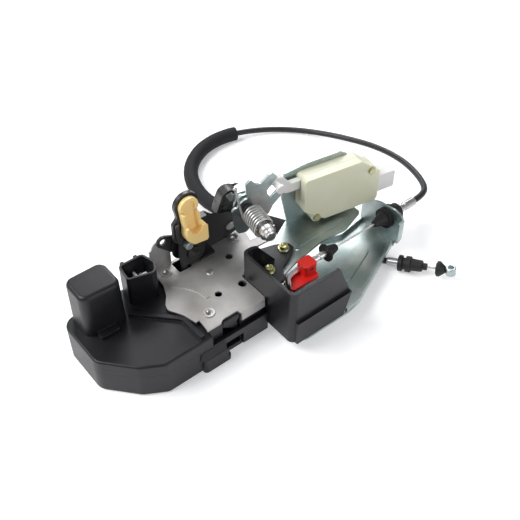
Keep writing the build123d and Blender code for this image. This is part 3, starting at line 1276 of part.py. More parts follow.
# ---------------------------------------------------------------- release cable, near end
ROD_R = 2.2
ROD_BEND_X = 66.0
ROD_BEND_R = 6.0
ROD_FOOT_Z = -20.0
CRIMP_X = (92.6, 106.0)
CRIMP_R = 2.7
CONE_X = (106.0, 117.0)
CONE_R = 7.2
NEAR_TRAVEL = 12.0
BOOT_TIP_X = 158.0
FERRULE_X = (184.0, 203.0)
FERRULE_R = 3.6
WIRE_END_X = 200.0
BORE_R = WIRE_R + 0.1

with BuildPart() as cable_rod:
    with BuildLine():
        FilletPolyline(
            (CRIMP_X[0] + 6, CABLE_Y, CABLE_Z), (ROD_BEND_X, CABLE_Y, CABLE_Z),
            (ROD_BEND_X, CABLE_Y, ROD_FOOT_Z),
            radius=ROD_BEND_R,
        )
    with BuildSketch(along_x(CRIMP_X[0] + 6, CABLE_Y, CABLE_Z)):
        Circle(ROD_R)
    sweep()
    extrude(disc(along_x(CRIMP_X[0], CABLE_Y, CABLE_Z), CRIMP_R), amount=CRIMP_X[1] - CRIMP_X[0])
    extrude(disc(along_x(CRIMP_X[1], CABLE_Y, CABLE_Z), WIRE_R), amount=-8.0, mode=Mode.SUBTRACT)
write(cable_rod.part, "cable_rod")

CLIP_BASE = ((64.0, 90.0), (-17.0, -1.0), (-9.0, -6.0))
CLIP_TOP = ((79.0, 91.0), (-13.0, -2.3), (-6.0, 3.5))
with BuildPart() as cable_clip:
    for (x0, x1), (y0, y1), (z0, z1) in (CLIP_BASE, CLIP_TOP):
        with BuildSketch(Plane.XY.offset(z0)):
            with Locations(((x0 + x1) / 2, (y0 + y1) / 2)):
                RectangleRounded(x1 - x0, y1 - y0, 2.0)
        extrude(amount=z1 - z0)
    # bore and snap slot for the rod, and the eye round its bend
    extrude(disc(along_x(CLIP_TOP[0][0] - 5, CABLE_Y, CABLE_Z), ROD_R), amount=30.0, mode=Mode.SUBTRACT)
    with BuildSketch(Plane.XY.offset(CLIP_BASE[2][0])):
        with Locations((ROD_BEND_X, CABLE_Y)):
            Circle(ROD_R)
        with Locations((ROD_BEND_X + ROD_BEND_R / 2, CABLE_Y)):
            Rectangle(ROD_BEND_R, 2 * ROD_R)
    extrude(amount=8.0, mode=Mode.SUBTRACT)
    with BuildSketch(facing_front(0, CLIP_TOP[1][0], 0)):
        with Locations((85.0, -0.5)):
            Rectangle(4.0, 2.4)
    extrude(amount=-2.0, mode=Mode.SUBTRACT)
write(cable_clip.part, "cable_clip")

with BuildPart() as inner_wire:
    extrude(
        disc(along_x(CRIMP_X[1] - 8.0, CABLE_Y, CABLE_Z), WIRE_R),
        amount=WIRE_END_X - NEAR_TRAVEL - CRIMP_X[1] + 8.0,
    )
write(inner_wire.part, "inner_wire")


def lathe(plane, stations):
    """Turned piece from (distance along the plane's normal, radius) stations, with a straight bore."""
    with BuildSketch(Plane(origin=plane.origin, x_dir=plane.z_dir, z_dir=plane.x_dir)) as profile:
        with BuildLine():
            Polyline((stations[0][0], 0), *stations, (stations[-1][0], 0), close=True)
        make_face()
    return profile.sketch


def turned(plane, stations, bore=0.0):
    """Solid of revolution about a plane's normal."""
    axis = Axis(plane.origin, plane.z_dir)
    with BuildPart() as piece:
        revolve(lathe(plane, stations), axis=axis)
        if bore:
            length = stations[-1][0] - stations[0][0]
            start = Plane(
                origin=plane.origin + plane.z_dir * stations[0][0], x_dir=plane.x_dir, z_dir=plane.z_dir,
            )
            extrude(disc(start, bore), amount=length, mode=Mode.SUBTRACT)
    return piece.part


near = along_x(0, CABLE_Y, CABLE_Z)
cone_profile = [
    (CONE_X[0] + 0.02, CONE_R), (CONE_X[0] + 1.6, CONE_R), (CONE_X[0] + 3.4, 5.0), (CONE_X[1], 3.0),
]
write(turned(near, cone_profile, BORE_R), "cone_bumper")

SEAT_X = (BRACKET_END - 0.1, BRACKET_END - 0.1 + BRACKET_T)
grommet_profile = [
    (BOOT_TIP_X, 2.6), (BOOT_TIP_X + 1, 3.0), (SEAT_X[0] - 3.4, 6.0), (SEAT_X[0] - 3.3, 8.6),
    (SEAT_X[0] - 0.02, 8.6),
    (SEAT_X[0] - 0.02, GROMMET_R - 0.02), (SEAT_X[1] + 0.02, GROMMET_R - 0.02), (SEAT_X[1] + 0.02, 9.0),
    (SEAT_X[1] + 4.0, 9.0),
    (SEAT_X[1] + 5.0, 7.0), (FERRULE_X[0] - 0.02, 7.0),
]
write(turned(near, grommet_profile, BORE_R), "cable_grommet")
ferrule_profile = [
    (FERRULE_X[0], FERRULE_R), (189.0, FERRULE_R), (189.5, 3.2), (191.5, 3.2), (192.0, FERRULE_R),
    (FERRULE_X[1], FERRULE_R),
]
write(turned(near, ferrule_profile, BORE_R), "cable_ferrule")

# ---------------------------------------------------------------- release cable, sheath and far end
CABLE_ROUTE = [
    (203.0, -5.0, -2.8), (213.0, -5.0, -2.8), (226.0, 2.0, -4.8), (239.0, 25.0, -9.5),
    (248.0, 52.0, -15.0), (250.0, 82.0, -21.0),
    (245.0, 112.0, -27.0), (233.0, 142.0, -31.0), (212.0, 168.0, -32.0), (184.0, 184.0, -30.0),
    (156.0, 192.0, -28.5),
    (128.0, 189.0, -28.4), (103.0, 172.0, -28.4), (91.0, 148.0, -28.5), (88.0, 122.0, -28.4),
    (97.0, 96.0, -28.5),
    (110.0, 74.0, -28.4), (122.0, 52.0, -28.6), (136.0, 32.0, -29.6), (145.5, 14.0, -31.8),
    (150.5, -4.0, -32.2),
    (154.4, -16.7, -30.7), (158.5, -23.5, -29.7),
]
FOAM_PART = (9, 18)  # the foam sleeve covers the route between these two points
FAR_START = CABLE_ROUTE[-1]
FAR_DIR = Vector(*FAR_START) - Vector(*CABLE_ROUTE[-2])


def corner_radii(route):
    """Largest fillet radius at each corner: 0.45 of the shorter run over the tangent of half the turn."""
    radii = []
    for before, here, after in zip(route, route[1:], route[2:]):
        run_in = Vector(*here) - Vector(*before)
        run_out = Vector(*after) - Vector(*here)
        half = math.radians(run_in.get_angle(run_out)) / 2
        radii.append(0.45 * min(run_in.length, run_out.length) / math.tan(half))
    return radii


def tube(route, radius, bore=0.0):
    """Round tube along a route of straight runs joined by tangent arcs."""
    radii = corner_radii(route)
    with BuildPart() as piece:
        with BuildLine():
            line = FilletPolyline(*route, radius=radii)
        with BuildSketch(Plane(origin=line @ 0, z_dir=line % 0)):
            Circle(radius)
            if bore:
                Circle(bore, mode=Mode.SUBTRACT)
        sweep(path=line)
    section = math.pi * (radius**2 - bore**2)
    print(f"tube length {line.length:.1f} volume share {piece.part.volume / (section * line.length):.4f}")
    return piece.part


print("cord radii", [round(radius) for radius in corner_radii(CABLE_ROUTE)])
write(tube(CABLE_ROUTE, SHEATH_R), "cable_sheath")


def middle(a, b):
    """Point half way between two points."""
    return tuple((p + q) / 2 for p, q in zip(a, b))


foam_route = CABLE_ROUTE[FOAM_PART[0]:FOAM_PART[1] + 1]
foam_route = [middle(foam_route[0], foam_route[1]), *foam_route[1:-1], middle(foam_route[-2], foam_route[-1])]
write(tube(foam_route, FOAM_R, SHEATH_R + SEAT), "foam_sleeve")

far = Plane(origin=FAR_START, x_dir=(0, 0, 1), z_dir=FAR_DIR)
write(turned(far, [(0.0, 3.0), (0.6, 3.4), (9.0, 3.4)], BORE_R), "far_ferrule")
far_grommet_profile = [
    (9.02, 5.6), (9.4, 6.5), (12.4, 6.5), (12.6, 4.8), (15.0, 4.8), (15.2, 6.5), (19.0, 6.5), (20.0, 5.0),
    (28.0, 4.6), (29.0, 2.8),
    (32.0, 2.8),
]
write(turned(far, far_grommet_profile, BORE_R), "far_grommet")
far_wire_start = Plane(origin=Vector(*FAR_START) + far.z_dir * 2.0, x_dir=far.x_dir, z_dir=far.z_dir)
with BuildPart() as far_wire:
    extrude(disc(far_wire_start, WIRE_R), amount=44.0)
write(far_wire.part, "far_wire")
write(turned(far, [(39.0, 4.6), (40.0, 6.2), (42.0, 6.2), (46.48, 2.6)], WIRE_R + 0.02), "far_cone")
FAR_RING_AT = 50.5
ring_centre = Vector(*FAR_START) + far.z_dir * FAR_RING_AT
ring_plane = Plane(origin=ring_centre, x_dir=far.z_dir, z_dir=Vector(0, 0, 1) - far.z_dir * far.z_dir.Z)
with BuildPart() as far_ring:
    extrude(disc(ring_plane.offset(-3.4), 4.0), amount=6.8)
    chamfer(far_ring.edges(), 0.4)
    extrude(disc(ring_plane.offset(-3.4), 2.2), amount=6.8, mode=Mode.SUBTRACT)
    ring_gap = Plane(origin=Vector(*FAR_START) + far.z_dir * 44.0, x_dir=far.x_dir, z_dir=far.z_dir)
    extrude(disc(ring_gap, WIRE_R), amount=2.02, mode=Mode.SUBTRACT)
write(far_ring.part, "far_ring")
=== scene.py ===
import json
import math
import random

import bmesh
import bpy
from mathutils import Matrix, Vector


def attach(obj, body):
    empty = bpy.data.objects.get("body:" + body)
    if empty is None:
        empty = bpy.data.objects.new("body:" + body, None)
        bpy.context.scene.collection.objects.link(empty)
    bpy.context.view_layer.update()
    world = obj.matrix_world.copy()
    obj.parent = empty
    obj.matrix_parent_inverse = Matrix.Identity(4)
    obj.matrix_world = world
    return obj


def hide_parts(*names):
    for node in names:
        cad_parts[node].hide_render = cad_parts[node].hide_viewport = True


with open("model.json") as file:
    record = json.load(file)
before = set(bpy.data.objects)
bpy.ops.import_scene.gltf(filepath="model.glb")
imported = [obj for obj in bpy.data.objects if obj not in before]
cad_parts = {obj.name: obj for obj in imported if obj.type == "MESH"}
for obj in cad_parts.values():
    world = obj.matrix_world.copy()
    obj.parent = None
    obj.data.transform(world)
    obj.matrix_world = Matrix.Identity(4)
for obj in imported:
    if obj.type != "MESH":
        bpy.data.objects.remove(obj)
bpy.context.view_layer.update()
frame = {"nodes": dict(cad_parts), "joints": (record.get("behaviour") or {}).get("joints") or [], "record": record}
MM = 0.001

# ------------------------------------------------------------------ view and studio
# One camera above the motor end of the latch, looking down across the plate towards the cable bracket.
# Two large softboxes and a strip light give the black mouldings and the plated sheet their long highlights.
scene = bpy.context.scene
scene.view_settings.view_transform = "Standard"

VIEW_AZIMUTH = math.radians(-39)
VIEW_TILT = math.radians(45)
CAMERA_PLACE = (-0.2062, -0.3117, 0.4248)
SENSOR = 36
FOCAL_PX = 800
FRAME_PX = 520
camera = bpy.data.objects.new("camera", bpy.data.cameras.new("camera"))
camera.location = CAMERA_PLACE
camera.rotation_euler = (math.radians(90) - VIEW_TILT, 0, VIEW_AZIMUTH)
camera.data.sensor_width = SENSOR
camera.data.lens = SENSOR * FOCAL_PX / FRAME_PX
camera.data.clip_start = 0.01
scene.collection.objects.link(camera)
scene.camera = camera

LOOK_AT = Vector((0.05, 0.03, 0.0))


def softbox(name, place, size, power):
    """Rectangular area lamp turned to the middle of the part."""
    lamp = bpy.data.lights.new(name, "AREA")
    lamp.shape = "RECTANGLE"
    lamp.size, lamp.size_y = size
    lamp.energy = power
    holder = bpy.data.objects.new(name, lamp)
    holder.location = place
    holder.rotation_euler = (LOOK_AT - Vector(place)).to_track_quat("-Z", "Y").to_euler()
    scene.collection.objects.link(holder)


softbox("key_softbox", (-0.55, 0.35, 0.85), (0.70, 0.55), 11.0)
softbox("rear_softbox", (0.55, 0.75, 0.65), (0.60, 0.40), 6.0)
softbox("front_strip", (0.25, -0.85, 0.45), (0.80, 0.16), 2.6)


class Value:
    """A socket in a node tree, written as a number in an expression."""

    def __init__(self, shading, socket):
        self.shading = shading
        self.socket = socket

    def maths(self, operation, *numbers):
        """Result of a Math node on values and numbers."""
        return self.shading.node("ShaderNodeMath", {"operation": operation}, dict(enumerate(numbers)))

    def __add__(self, other):
        return self.maths("ADD", self, other)

    __radd__ = __add__

    def __mul__(self, other):
        return self.maths("MULTIPLY", self, other)

    __rmul__ = __mul__

    def above(self, low, high):
        """0 below low, 1 above high, smooth between."""
        settings = {"interpolation_type": "SMOOTHSTEP"}
        return self.shading.node("ShaderNodeMapRange", settings, {0: self, 1: low, 2: high})


class Shading:
    """A node tree that gets all its new nodes from node()."""

    def __init__(self, tree):
        self.tree = tree

    def join(self, value, socket):
        """Link or number put on a socket."""
        if isinstance(value, Value):
            self.tree.links.new(value.socket, socket)
        elif socket.type == "RGBA" and len(value) == 3:
            socket.default_value = (*value, 1)
        else:
            socket.default_value = value

    def node(self, kind, settings=None, sockets=None, output=0):
        """New node with its settings and sockets filled in, as the value of one of its outputs."""
        made = self.tree.nodes.new(kind)
        for name, value in (settings or {}).items():
            setattr(made, name, value)
        for name, value in (sockets or {}).items():
            self.join(value, made.inputs[name])
        return Value(self, made.outputs[output])


AMBIENT_TINT = (0.93, 0.95, 1.0)
AMBIENT = 0.34
world = bpy.data.worlds.new("studio")
world.use_nodes = True
scene.world = world
world.node_tree.nodes.remove(world.node_tree.nodes["Background"])
sky = Shading(world.node_tree)
ambient = sky.node("ShaderNodeBackground", None, {"Color": AMBIENT_TINT, "Strength": AMBIENT})
backdrop = sky.node("ShaderNodeBackground", None, {"Color": (1, 1, 1), "Strength": 1.0})
seen = sky.node("ShaderNodeLightPath", output="Is Camera Ray")
sky.join(
    sky.node("ShaderNodeMixShader", None, {0: seen, 1: ambient, 2: backdrop}),
    world.node_tree.nodes["World Output"].inputs["Surface"],
)

# ------------------------------------------------------------------ floor
# A pale sheet that the part lies on; it is lit a little from itself so that it reads as white.
# It keeps the soft shadow under the housing and the cable.
def mount(name):
    """Place of one of the part's mounts, in metres."""
    return Vector(next(m for m in frame["record"]["mounts"] if m["name"] == name)["pos_m"])


FLOOR_Z = mount("base").z
FLOOR_HALF = 2.5
FLOOR_GLOW = 0.30
RAYS = ("Is Camera Ray", "Is Glossy Ray", "Is Transmission Ray")


def mesh_object(name, build):
    """Object whose mesh is made by build(bm)."""
    bm = bmesh.new()
    build(bm)
    mesh = bpy.data.meshes.new(name)
    bm.normal_update()
    bm.to_mesh(mesh)
    bm.free()
    made = bpy.data.objects.new(name, mesh)
    scene.collection.objects.link(made)
    return made


def sheet_corners(bm):
    """One square face at the floor's height."""
    corners = [(-1, -1), (1, -1), (1, 1), (-1, 1)]
    bm.faces.new([bm.verts.new((x * FLOOR_HALF, y * FLOOR_HALF, FLOOR_Z)) for x, y in corners])


class Paint(Shading):
    """A procedural material."""

    def __init__(self, name, **constants):
        self.material = bpy.data.materials.new(name)
        self.material.use_nodes = True
        super().__init__(self.material.node_tree)
        self.shader = self.tree.nodes["Principled BSDF"]
        self.set(**constants)
        self.place = self.node("ShaderNodeTexCoord", output="Object")

    def set(self, **sockets):
        """Values or links of the surface's own sockets, with _ for a blank in a socket's name."""
        for name, value in sockets.items():
            self.join(value, self.shader.inputs[name.replace("_", " ")])
        return self

    def noise(self, scale, detail=2.0, rough=0.5, stretch=None):
        """Noise from 0 to 1 with scale in features per metre."""
        where = self.place
        if stretch:
            where = self.node("ShaderNodeVectorMath", {"operation": "MULTIPLY"}, {0: where, 1: stretch})
        sockets = {"Vector": where, "Scale": scale, "Detail": detail, "Roughness": rough}
        return self.node("ShaderNodeTexNoise", None, sockets)

    def blend(self, share, low, high):
        """Colour between two colours: a Mix node's colours are its inputs 6 and 7 and its output 2."""
        return self.node("ShaderNodeMix", {"data_type": "RGBA"}, {0: share, 6: low, 7: high}, output=2)

    def relief(self, height, depth, edge=0.0):
        """Bumps of that depth in metres, over edges that are softened by a radius."""
        sockets = {"Height": height, "Distance": depth, "Strength": 1.0}
        if edge:
            sockets["Normal"] = self.node("ShaderNodeBevel", {"samples": 4}, {"Radius": edge})
        return self.set(Normal=self.node("ShaderNodeBump", None, sockets))


floor = mesh_object("floor", sheet_corners)
paper = Paint("paper", Base_Color=(0.86, 0.86, 0.86), Roughness=0.9)
camera_ray, glossy_ray, clear_ray = (paper.node("ShaderNodeLightPath", output=ray) for ray in RAYS)
glow = (camera_ray + glossy_ray + clear_ray) * FLOOR_GLOW
paper.set(Emission_Color=paper.blend(glow, (0, 0, 0), (1, 1, 1)), Emission_Strength=1.0)
floor.data.materials.append(paper.material)

# ------------------------------------------------------------------ drive housing, cover and motor cap
# Two moulded halves closed on a seam, with a separate cap snapped over the motor.
# Black glass-filled nylon with a fine spark-eroded grain; the edges are rubbed a little smoother.
def coat(paint, *nodes):
    """The paint in every slot of the named solids."""
    for name in nodes:
        for slot in frame["nodes"][name].material_slots:
            slot.material = paint.material


GRAIN_PER_M = 1500
black = Paint("black_moulding", IOR=1.5, Specular_IOR_Level=0.36)
grain = black.noise(GRAIN_PER_M, 3.0, 0.6)
cloud = black.noise(38)
black.set(Base_Color=black.blend(cloud.above(0.3, 0.7), (0.0060, 0.0060, 0.0080), (0.0095, 0.0095, 0.0125)))
black.set(Roughness=0.30 + grain * 0.08 + cloud * 0.10)
black.relief(grain, 0.06 * MM, 0.7 * MM)
coat(black, "housing_lower", "housing_cover", "motor_cap", "pivot_bush")

LATCH_FRONT_Y = -13.0
SKIRT_Y = (-16.5, -13.1)
SKIRT_Z = (-31.0, -19.7, -13.9)
SKIRT_X = (-9.4, 1.8, 17.6, 40.4)
SKIRT_STEP = 2.0
BELLY_LOW = [(-21.5, -16.45), (-17.5, -19.5), (0.6, -19.5), (1.7, -16.45)]
BELLY_HIGH = [(-21.5, -16.4), (-17.5, -16.7), (0.6, -16.7), (1.7, -16.4)]
BELLY_Z = (-22.0, -15.0)
WEDGE = [(3.1, -1.8), (16.6, -1.6), (16.6, -5.7), (12.8, -9.2), (16.6, -16.0), (2.3, -6.3)]
WEDGE_DEPTH = (0.2, 2.0)
SHARP_DEGREES = 35


def front(y):
    """Upright plane that faces the front at y, as a function of across, up and depth towards the back."""
    return lambda across, up, depth: Vector((across, y + depth, up)) * MM


def prism(bm, corners, place, near, far):
    """Closed slab between two depths of a plane."""
    one = [bm.verts.new(place(u, v, near)) for u, v in corners]
    two = [bm.verts.new(place(u, v, far)) for u, v in corners]
    sides = [(one[k], one[k - 1], two[k - 1], two[k]) for k in range(len(corners))]
    made = [bm.faces.new(face) for face in (one, two, *sides)]
    bmesh.ops.recalc_face_normals(bm, faces=made)


def skin(bm, rings):
    """Closed skin over rings of points, with a cap at each end."""
    loops = [[bm.verts.new(p) for p in ring] for ring in rings]
    for one, two in zip(loops, loops[1:]):
        for k in range(len(one)):
            nxt = (k + 1) % len(one)
            bm.faces.new((one[k], one[nxt], two[nxt], two[k]))
    bm.faces.new(list(reversed(loops[0])))
    bm.faces.new(loops[-1])


def smooth(made, angle=SHARP_DEGREES):
    """Smooth shading broken at edges sharper than the angle."""
    for face in made.data.polygons:
        face.use_smooth = True
    made.data.set_sharp_from_angle(angle=math.radians(angle))
    return made


def eased(made, width):
    """Small bevel on every sharp edge, with smooth shading."""
    bevel = made.modifiers.new("eased", "BEVEL")
    bevel.width = width
    bevel.segments = 3
    bevel.limit_method = "ANGLE"
    bevel.angle_limit = math.radians(SHARP_DEGREES)
    bevel.harden_normals = True
    return smooth(made)


def front_skirt(bm):
    """Stepped wall, belly and wedge on the front of the lower half."""
    bottom, middle, top = SKIRT_Z
    left, mouth_left, mouth_right, right = SKIRT_X
    wall = [
        (left, top), (left, middle - SKIRT_STEP), (mouth_left, middle - SKIRT_STEP), (mouth_left, middle),
        (mouth_right, middle), (mouth_right, bottom), (right, bottom), (right, top),
    ]
    prism(bm, wall, front(SKIRT_Y[0]), 0, SKIRT_Y[1] - SKIRT_Y[0])
    low = [Vector((x, y, BELLY_Z[0])) * MM for x, y in BELLY_LOW]
    high = [Vector((x, y, BELLY_Z[1])) * MM for x, y in BELLY_HIGH]
    skin(bm, [low, high])
    prism(bm, WEDGE, front(LATCH_FRONT_Y), *WEDGE_DEPTH)


skirt = eased(mesh_object("front_skirt", front_skirt), 0.4 * MM)
skirt.data.materials.append(black.material)
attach(skirt, "root")

# ------------------------------------------------------------------ drive motor and gear train
# Can motor with a brass pinion, a moulded spur gear on a steel axle and the sector that it swings.
# They sit between the halves and show only through the gaps of the case.
steel = Paint("bright_steel", Metallic=1.0, Base_Color=(0.50, 0.50, 0.49))
streaks = steel.noise(260, 3.0, 0.6, (1, 1, 9))
steel.set(Roughness=0.22 + streaks * 0.18)
steel.relief(streaks, 0.01 * MM, 0.25 * MM)
coat(steel, "drive_motor", "gear_axles", "sector_lever", "lock_motor", "lock_axle")

brass = Paint("turned_brass", Metallic=1.0, Base_Color=(0.72, 0.52, 0.22))
brass.set(Roughness=0.24 + brass.noise(900) * 0.1)
coat(brass, "motor_pinion", "lock_motor_gear")

white = Paint("white_acetal", Subsurface_Weight=0.25, Subsurface_Scale=1.5 * MM, IOR=1.48)
white.set(Base_Color=white.blend(white.noise(60), (0.74, 0.74, 0.72), (0.80, 0.80, 0.78)))
white.set(Roughness=0.34 + white.noise(700) * 0.08)
white.relief(white.noise(500), 0.01 * MM, 0.3 * MM)
coat(white, "drive_gear", "lock_plunger", "lock_pinion", "terminal_block")

# ------------------------------------------------------------------ connector
# Moulded socket open at the top, with a pale terminal carrier and four tinned blades standing in it.
# Two lugs on the rear wall latch the plug.
coat(black, "connector_socket")

tin = Paint("tinned_brass", Metallic=1.0, Base_Color=(0.78, 0.77, 0.72))
tin.set(Roughness=0.20 + tin.noise(1200) * 0.15)
coat(tin, "terminal_pins")

# ------------------------------------------------------------------ latch parts under the plate
# Hardened fork and pawl on shouldered studs, wound return springs, and a rubber stop in the mouth.
# The fork and the pawl are blackened and left oily.
dark = Paint("blackened_steel", Metallic=1.0)
stain = dark.noise(120, 4.0, 0.6)
dark.set(Base_Color=dark.blend(stain.above(0.35, 0.7), (0.055, 0.054, 0.052), (0.14, 0.135, 0.13)))
dark.set(Roughness=0.32 + stain * 0.2)
dark.relief(dark.noise(900, 3.0), 0.015 * MM, 0.3 * MM)
coat(dark, "fork_bolt", "pawl", "hub_pin")

wire = Paint("spring_wire", Metallic=1.0)
drawn = wire.noise(420, 3.0, 0.6)
wire.set(Base_Color=wire.blend(drawn, (0.40, 0.40, 0.39), (0.58, 0.58, 0.57)))
wire.set(Roughness=0.30 + drawn * 0.12)
coat(wire, "latch_springs", "far_wire")

rubber = Paint("black_rubber", IOR=1.5, Specular_IOR_Level=0.35)
bloom = rubber.noise(160, 3.0)
rubber.set(Base_Color=rubber.blend(bloom, (0.008, 0.008, 0.009), (0.016, 0.016, 0.017)))
rubber.set(Roughness=0.48 + bloom * 0.14)
rubber.relief(rubber.noise(1900), 0.02 * MM, 0.35 * MM)
coat(rubber, "mouth_bumper", "cable_grommet", "far_grommet", "cone_bumper", "far_cone")

# ------------------------------------------------------------------ back plate and tapped collars
# Pressed steel plate that closes the latch: satin, faintly yellowed by its passivation, with rolling marks.
# The tapped collars are pressed in from below and stand a little proud; their threads are cut.
plate = Paint("satin_plate", Metallic=1.0)
mottle = plate.noise(55, 4.0, 0.55)
rolled = plate.noise(420, 3.0, 0.6, (0.10, 1, 1))
plate.set(Base_Color=plate.blend(mottle.above(0.3, 0.7), (0.43, 0.42, 0.415), (0.52, 0.51, 0.50)))
plate.set(Roughness=0.54 + rolled * 0.10)
plate.relief(rolled + mottle * 2.0, 0.012 * MM, 0.35 * MM)
coat(plate, "back_plate")
coat(steel, "threaded_collars", "latch_studs", "bracket_rivet")

bright = Paint("bright_plated", Metallic=1.0, Base_Color=(0.80, 0.80, 0.79))
bright.set(Roughness=0.24 + bright.noise(500) * 0.12)
coat(bright, "plate_rivet", "pivot_pin")

COLLARS = [mount(name) / MM for name in ("thread_front", "thread_rear", "thread_right")]
THREAD_R = 2.65
THREAD_PITCH = 1.0
THREAD_RIDGE_R = 0.38
THREAD_FROM = -5.5
THREAD_TURNS = 6
THREAD_STEPS = 24


def rings_along(points, radii, segments):
    """Rings about a line, each carried on from the one before so that the skin doesn't twist."""
    made = []
    across = None
    for index, (point, radius) in enumerate(zip(points, radii)):
        before = points[max(index - 1, 0)]
        after = points[min(index + 1, len(points) - 1)]
        forward = (after - before).normalized()
        across = across or forward.orthogonal()
        across = (across - forward * across.dot(forward)).normalized()
        up = forward.cross(across)
        turns = [math.tau * k / segments for k in range(segments)]
        made.append([point + (across * math.cos(t) + up * math.sin(t)) * radius for t in turns])
    return made


def threads(bm):
    """Helical ridge in each collar."""
    for collar in COLLARS:
        line = []
        for step in range(THREAD_TURNS * THREAD_STEPS + 1):
            turn = math.tau * step / THREAD_STEPS
            height = THREAD_FROM + THREAD_PITCH * step / THREAD_STEPS
            x = collar.x + THREAD_R * math.cos(turn)
            y = collar.y + THREAD_R * math.sin(turn)
            line.append(Vector((x, y, height)) * MM)
        skin(bm, rings_along(line, [THREAD_RIDGE_R * MM] * len(line), 8))


ridges = smooth(mesh_object("collar_threads", threads))
ridges.data.materials.append(bright.material)
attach(ridges, "root")

# ------------------------------------------------------------------ rear flange of the plate
# The plate's rear edge is folded up and blanked to a stepped crown beside the slot.
# It is the plate's own sheet with the same satin finish.
FLANGE_BACK_Y = 59.6
FLANGE_SHEET = 1.5
CROWN_INSET = 0.02
CROWN = [
    (-9.3, 14.0), (-8.2, 19.5), (-6.4, 23.6), (-4.2, 26.2), (-1.4, 26.4), (0.4, 24.2), (1.2, 20.6),
    (2.4, 18.9), (4.6, 19.9), (7.0, 19.4), (8.0, 17.6), (8.0, 12.0),
]


def flange_crown(bm):
    """The stepped blank, a hair thinner than the sheet so that it stays inside the solid's own faces."""
    prism(bm, CROWN, front(FLANGE_BACK_Y - FLANGE_SHEET), CROWN_INSET, FLANGE_SHEET - CROWN_INSET)


crown = eased(mesh_object("flange_crown", flange_crown), 0.25 * MM)
crown.data.materials.append(plate.material)
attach(crown, "root")

# ------------------------------------------------------------------ handle levers
# Bent lever bracket, outside-handle lever and key lever: pressed steel under a black cathodic coat.
# The coat is thin and smooth, with a slight orange peel.
ecoat = Paint("black_ecoat", IOR=1.5, Coat_Weight=0.25, Coat_Roughness=0.22)
peel = ecoat.noise(240)
ecoat.set(Base_Color=ecoat.blend(peel, (0.010, 0.010, 0.011), (0.015, 0.015, 0.016)))
ecoat.set(Roughness=0.34 + ecoat.noise(80, 3.0) * 0.14)
ecoat.relief(peel, 0.02 * MM, 0.4 * MM)
coat(ecoat, "lever_bracket", "handle_lever", "key_lever")

# ------------------------------------------------------------------ rod clip
# Snap-on rod clip, moulded in warm cream acetal that lets a little light through.
# Its hub turns in the handle lever's eye, and its foot takes the door handle's rod.
cream = Paint("cream_acetal", Subsurface_Weight=0.35, Subsurface_Scale=2.0 * MM, IOR=1.48)
cream.set(Subsurface_Radius=(1.0, 0.6, 0.25))
cream.set(Base_Color=cream.blend(cream.noise(70), (0.96, 0.66, 0.26), (1.0, 0.72, 0.32)))
cream.set(Roughness=0.30 + cream.noise(500) * 0.08)
cream.relief(cream.noise(420), 0.01 * MM, 0.35 * MM)


def joint(name):
    """One of the part's joints, with its place in metres and its axis."""
    return next(j for j in frame["joints"] if j["name"] == name)


CLIP_PIN = Vector(joint("rod_clip_turn")["pos_m"]) / MM
EYE = (CLIP_PIN.x, CLIP_PIN.z)
CLIP_STAND = 0.1
CLIP_HEAD_R = 7.8
CLIP_HUB_R = 6.6
CLIP_HUB_LIP = 0.8
CLIP_RIM = 3.2
WEB_DEPTH = (-1.8, 0)
WALL_DEPTH = (-5.4, -1.0)
RIM_DEPTH = (-3.4, -1.0)
FOOT_DEPTH = (-8.0, -1.0)
HUB_DEPTH = (-0.5, 4.6)
LIP_DEPTH = (3.8, 5.0)
HEAD_FROM = -35
HEAD_TO = 195
WHOLE_CIRCLE = (0, 348, 30)
CLIP_OUTLINE = [
    (12.0, 44.0), (11.2, 37.0), (12.4, 33.0), (17.5, 27.8), (28.6, 26.0), (29.9, 28.0), (29.6, 39.0),
    (26.2, 43.0),
]
CLIP_LEFT = [(10.9, 56.0), (13.4, 56.0), (14.7, 41.0), (12.0, 41.0)]
CLIP_RIGHT = [(22.6, 54.6), (25.1, 53.6), (26.2, 41.0), (23.6, 41.0)]
CLIP_FOOT = [
    (12.0, 44.6), (11.2, 37.0), (12.4, 33.0), (17.5, 27.8), (28.6, 26.0), (29.9, 28.0), (29.6, 40.0),
    (27.6, 42.4), (25.0, 41.6), (23.6, 37.8), (20.6, 36.4), (17.4, 37.6), (15.2, 41.8), (13.8, 44.8),
]


def arc(centre, radius, start, end, count):
    """Points on an arc between two angles in degrees."""
    angles = [math.radians(start + (end - start) * k / (count - 1)) for k in range(count)]
    return [(centre[0] + radius * math.cos(a), centre[1] + radius * math.sin(a)) for a in angles]


def snap_clip(bm):
    """Web, two side walls, rim, foot and hub of the clip, one slab each."""
    place = front(CLIP_PIN.y + CLIP_STAND)
    head = arc(EYE, CLIP_HEAD_R, HEAD_FROM, HEAD_TO, 28)
    prism(bm, head + CLIP_OUTLINE, place, *WEB_DEPTH)
    prism(bm, CLIP_LEFT, place, *WALL_DEPTH)
    prism(bm, CLIP_RIGHT, place, *WALL_DEPTH)
    prism(bm, head + arc(EYE, CLIP_HEAD_R - CLIP_RIM, HEAD_TO, HEAD_FROM, 16), place, *RIM_DEPTH)
    prism(bm, CLIP_FOOT, place, *FOOT_DEPTH)
    prism(bm, arc(EYE, CLIP_HUB_R, *WHOLE_CIRCLE), place, *HUB_DEPTH)
    prism(bm, arc(EYE, CLIP_HUB_R + CLIP_HUB_LIP, *WHOLE_CIRCLE), place, *LIP_DEPTH)


clip = eased(mesh_object("snap_clip", snap_clip), 0.45 * MM)
clip.data.materials.append(cream.material)
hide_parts("rod_clip")
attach(clip, "clip")

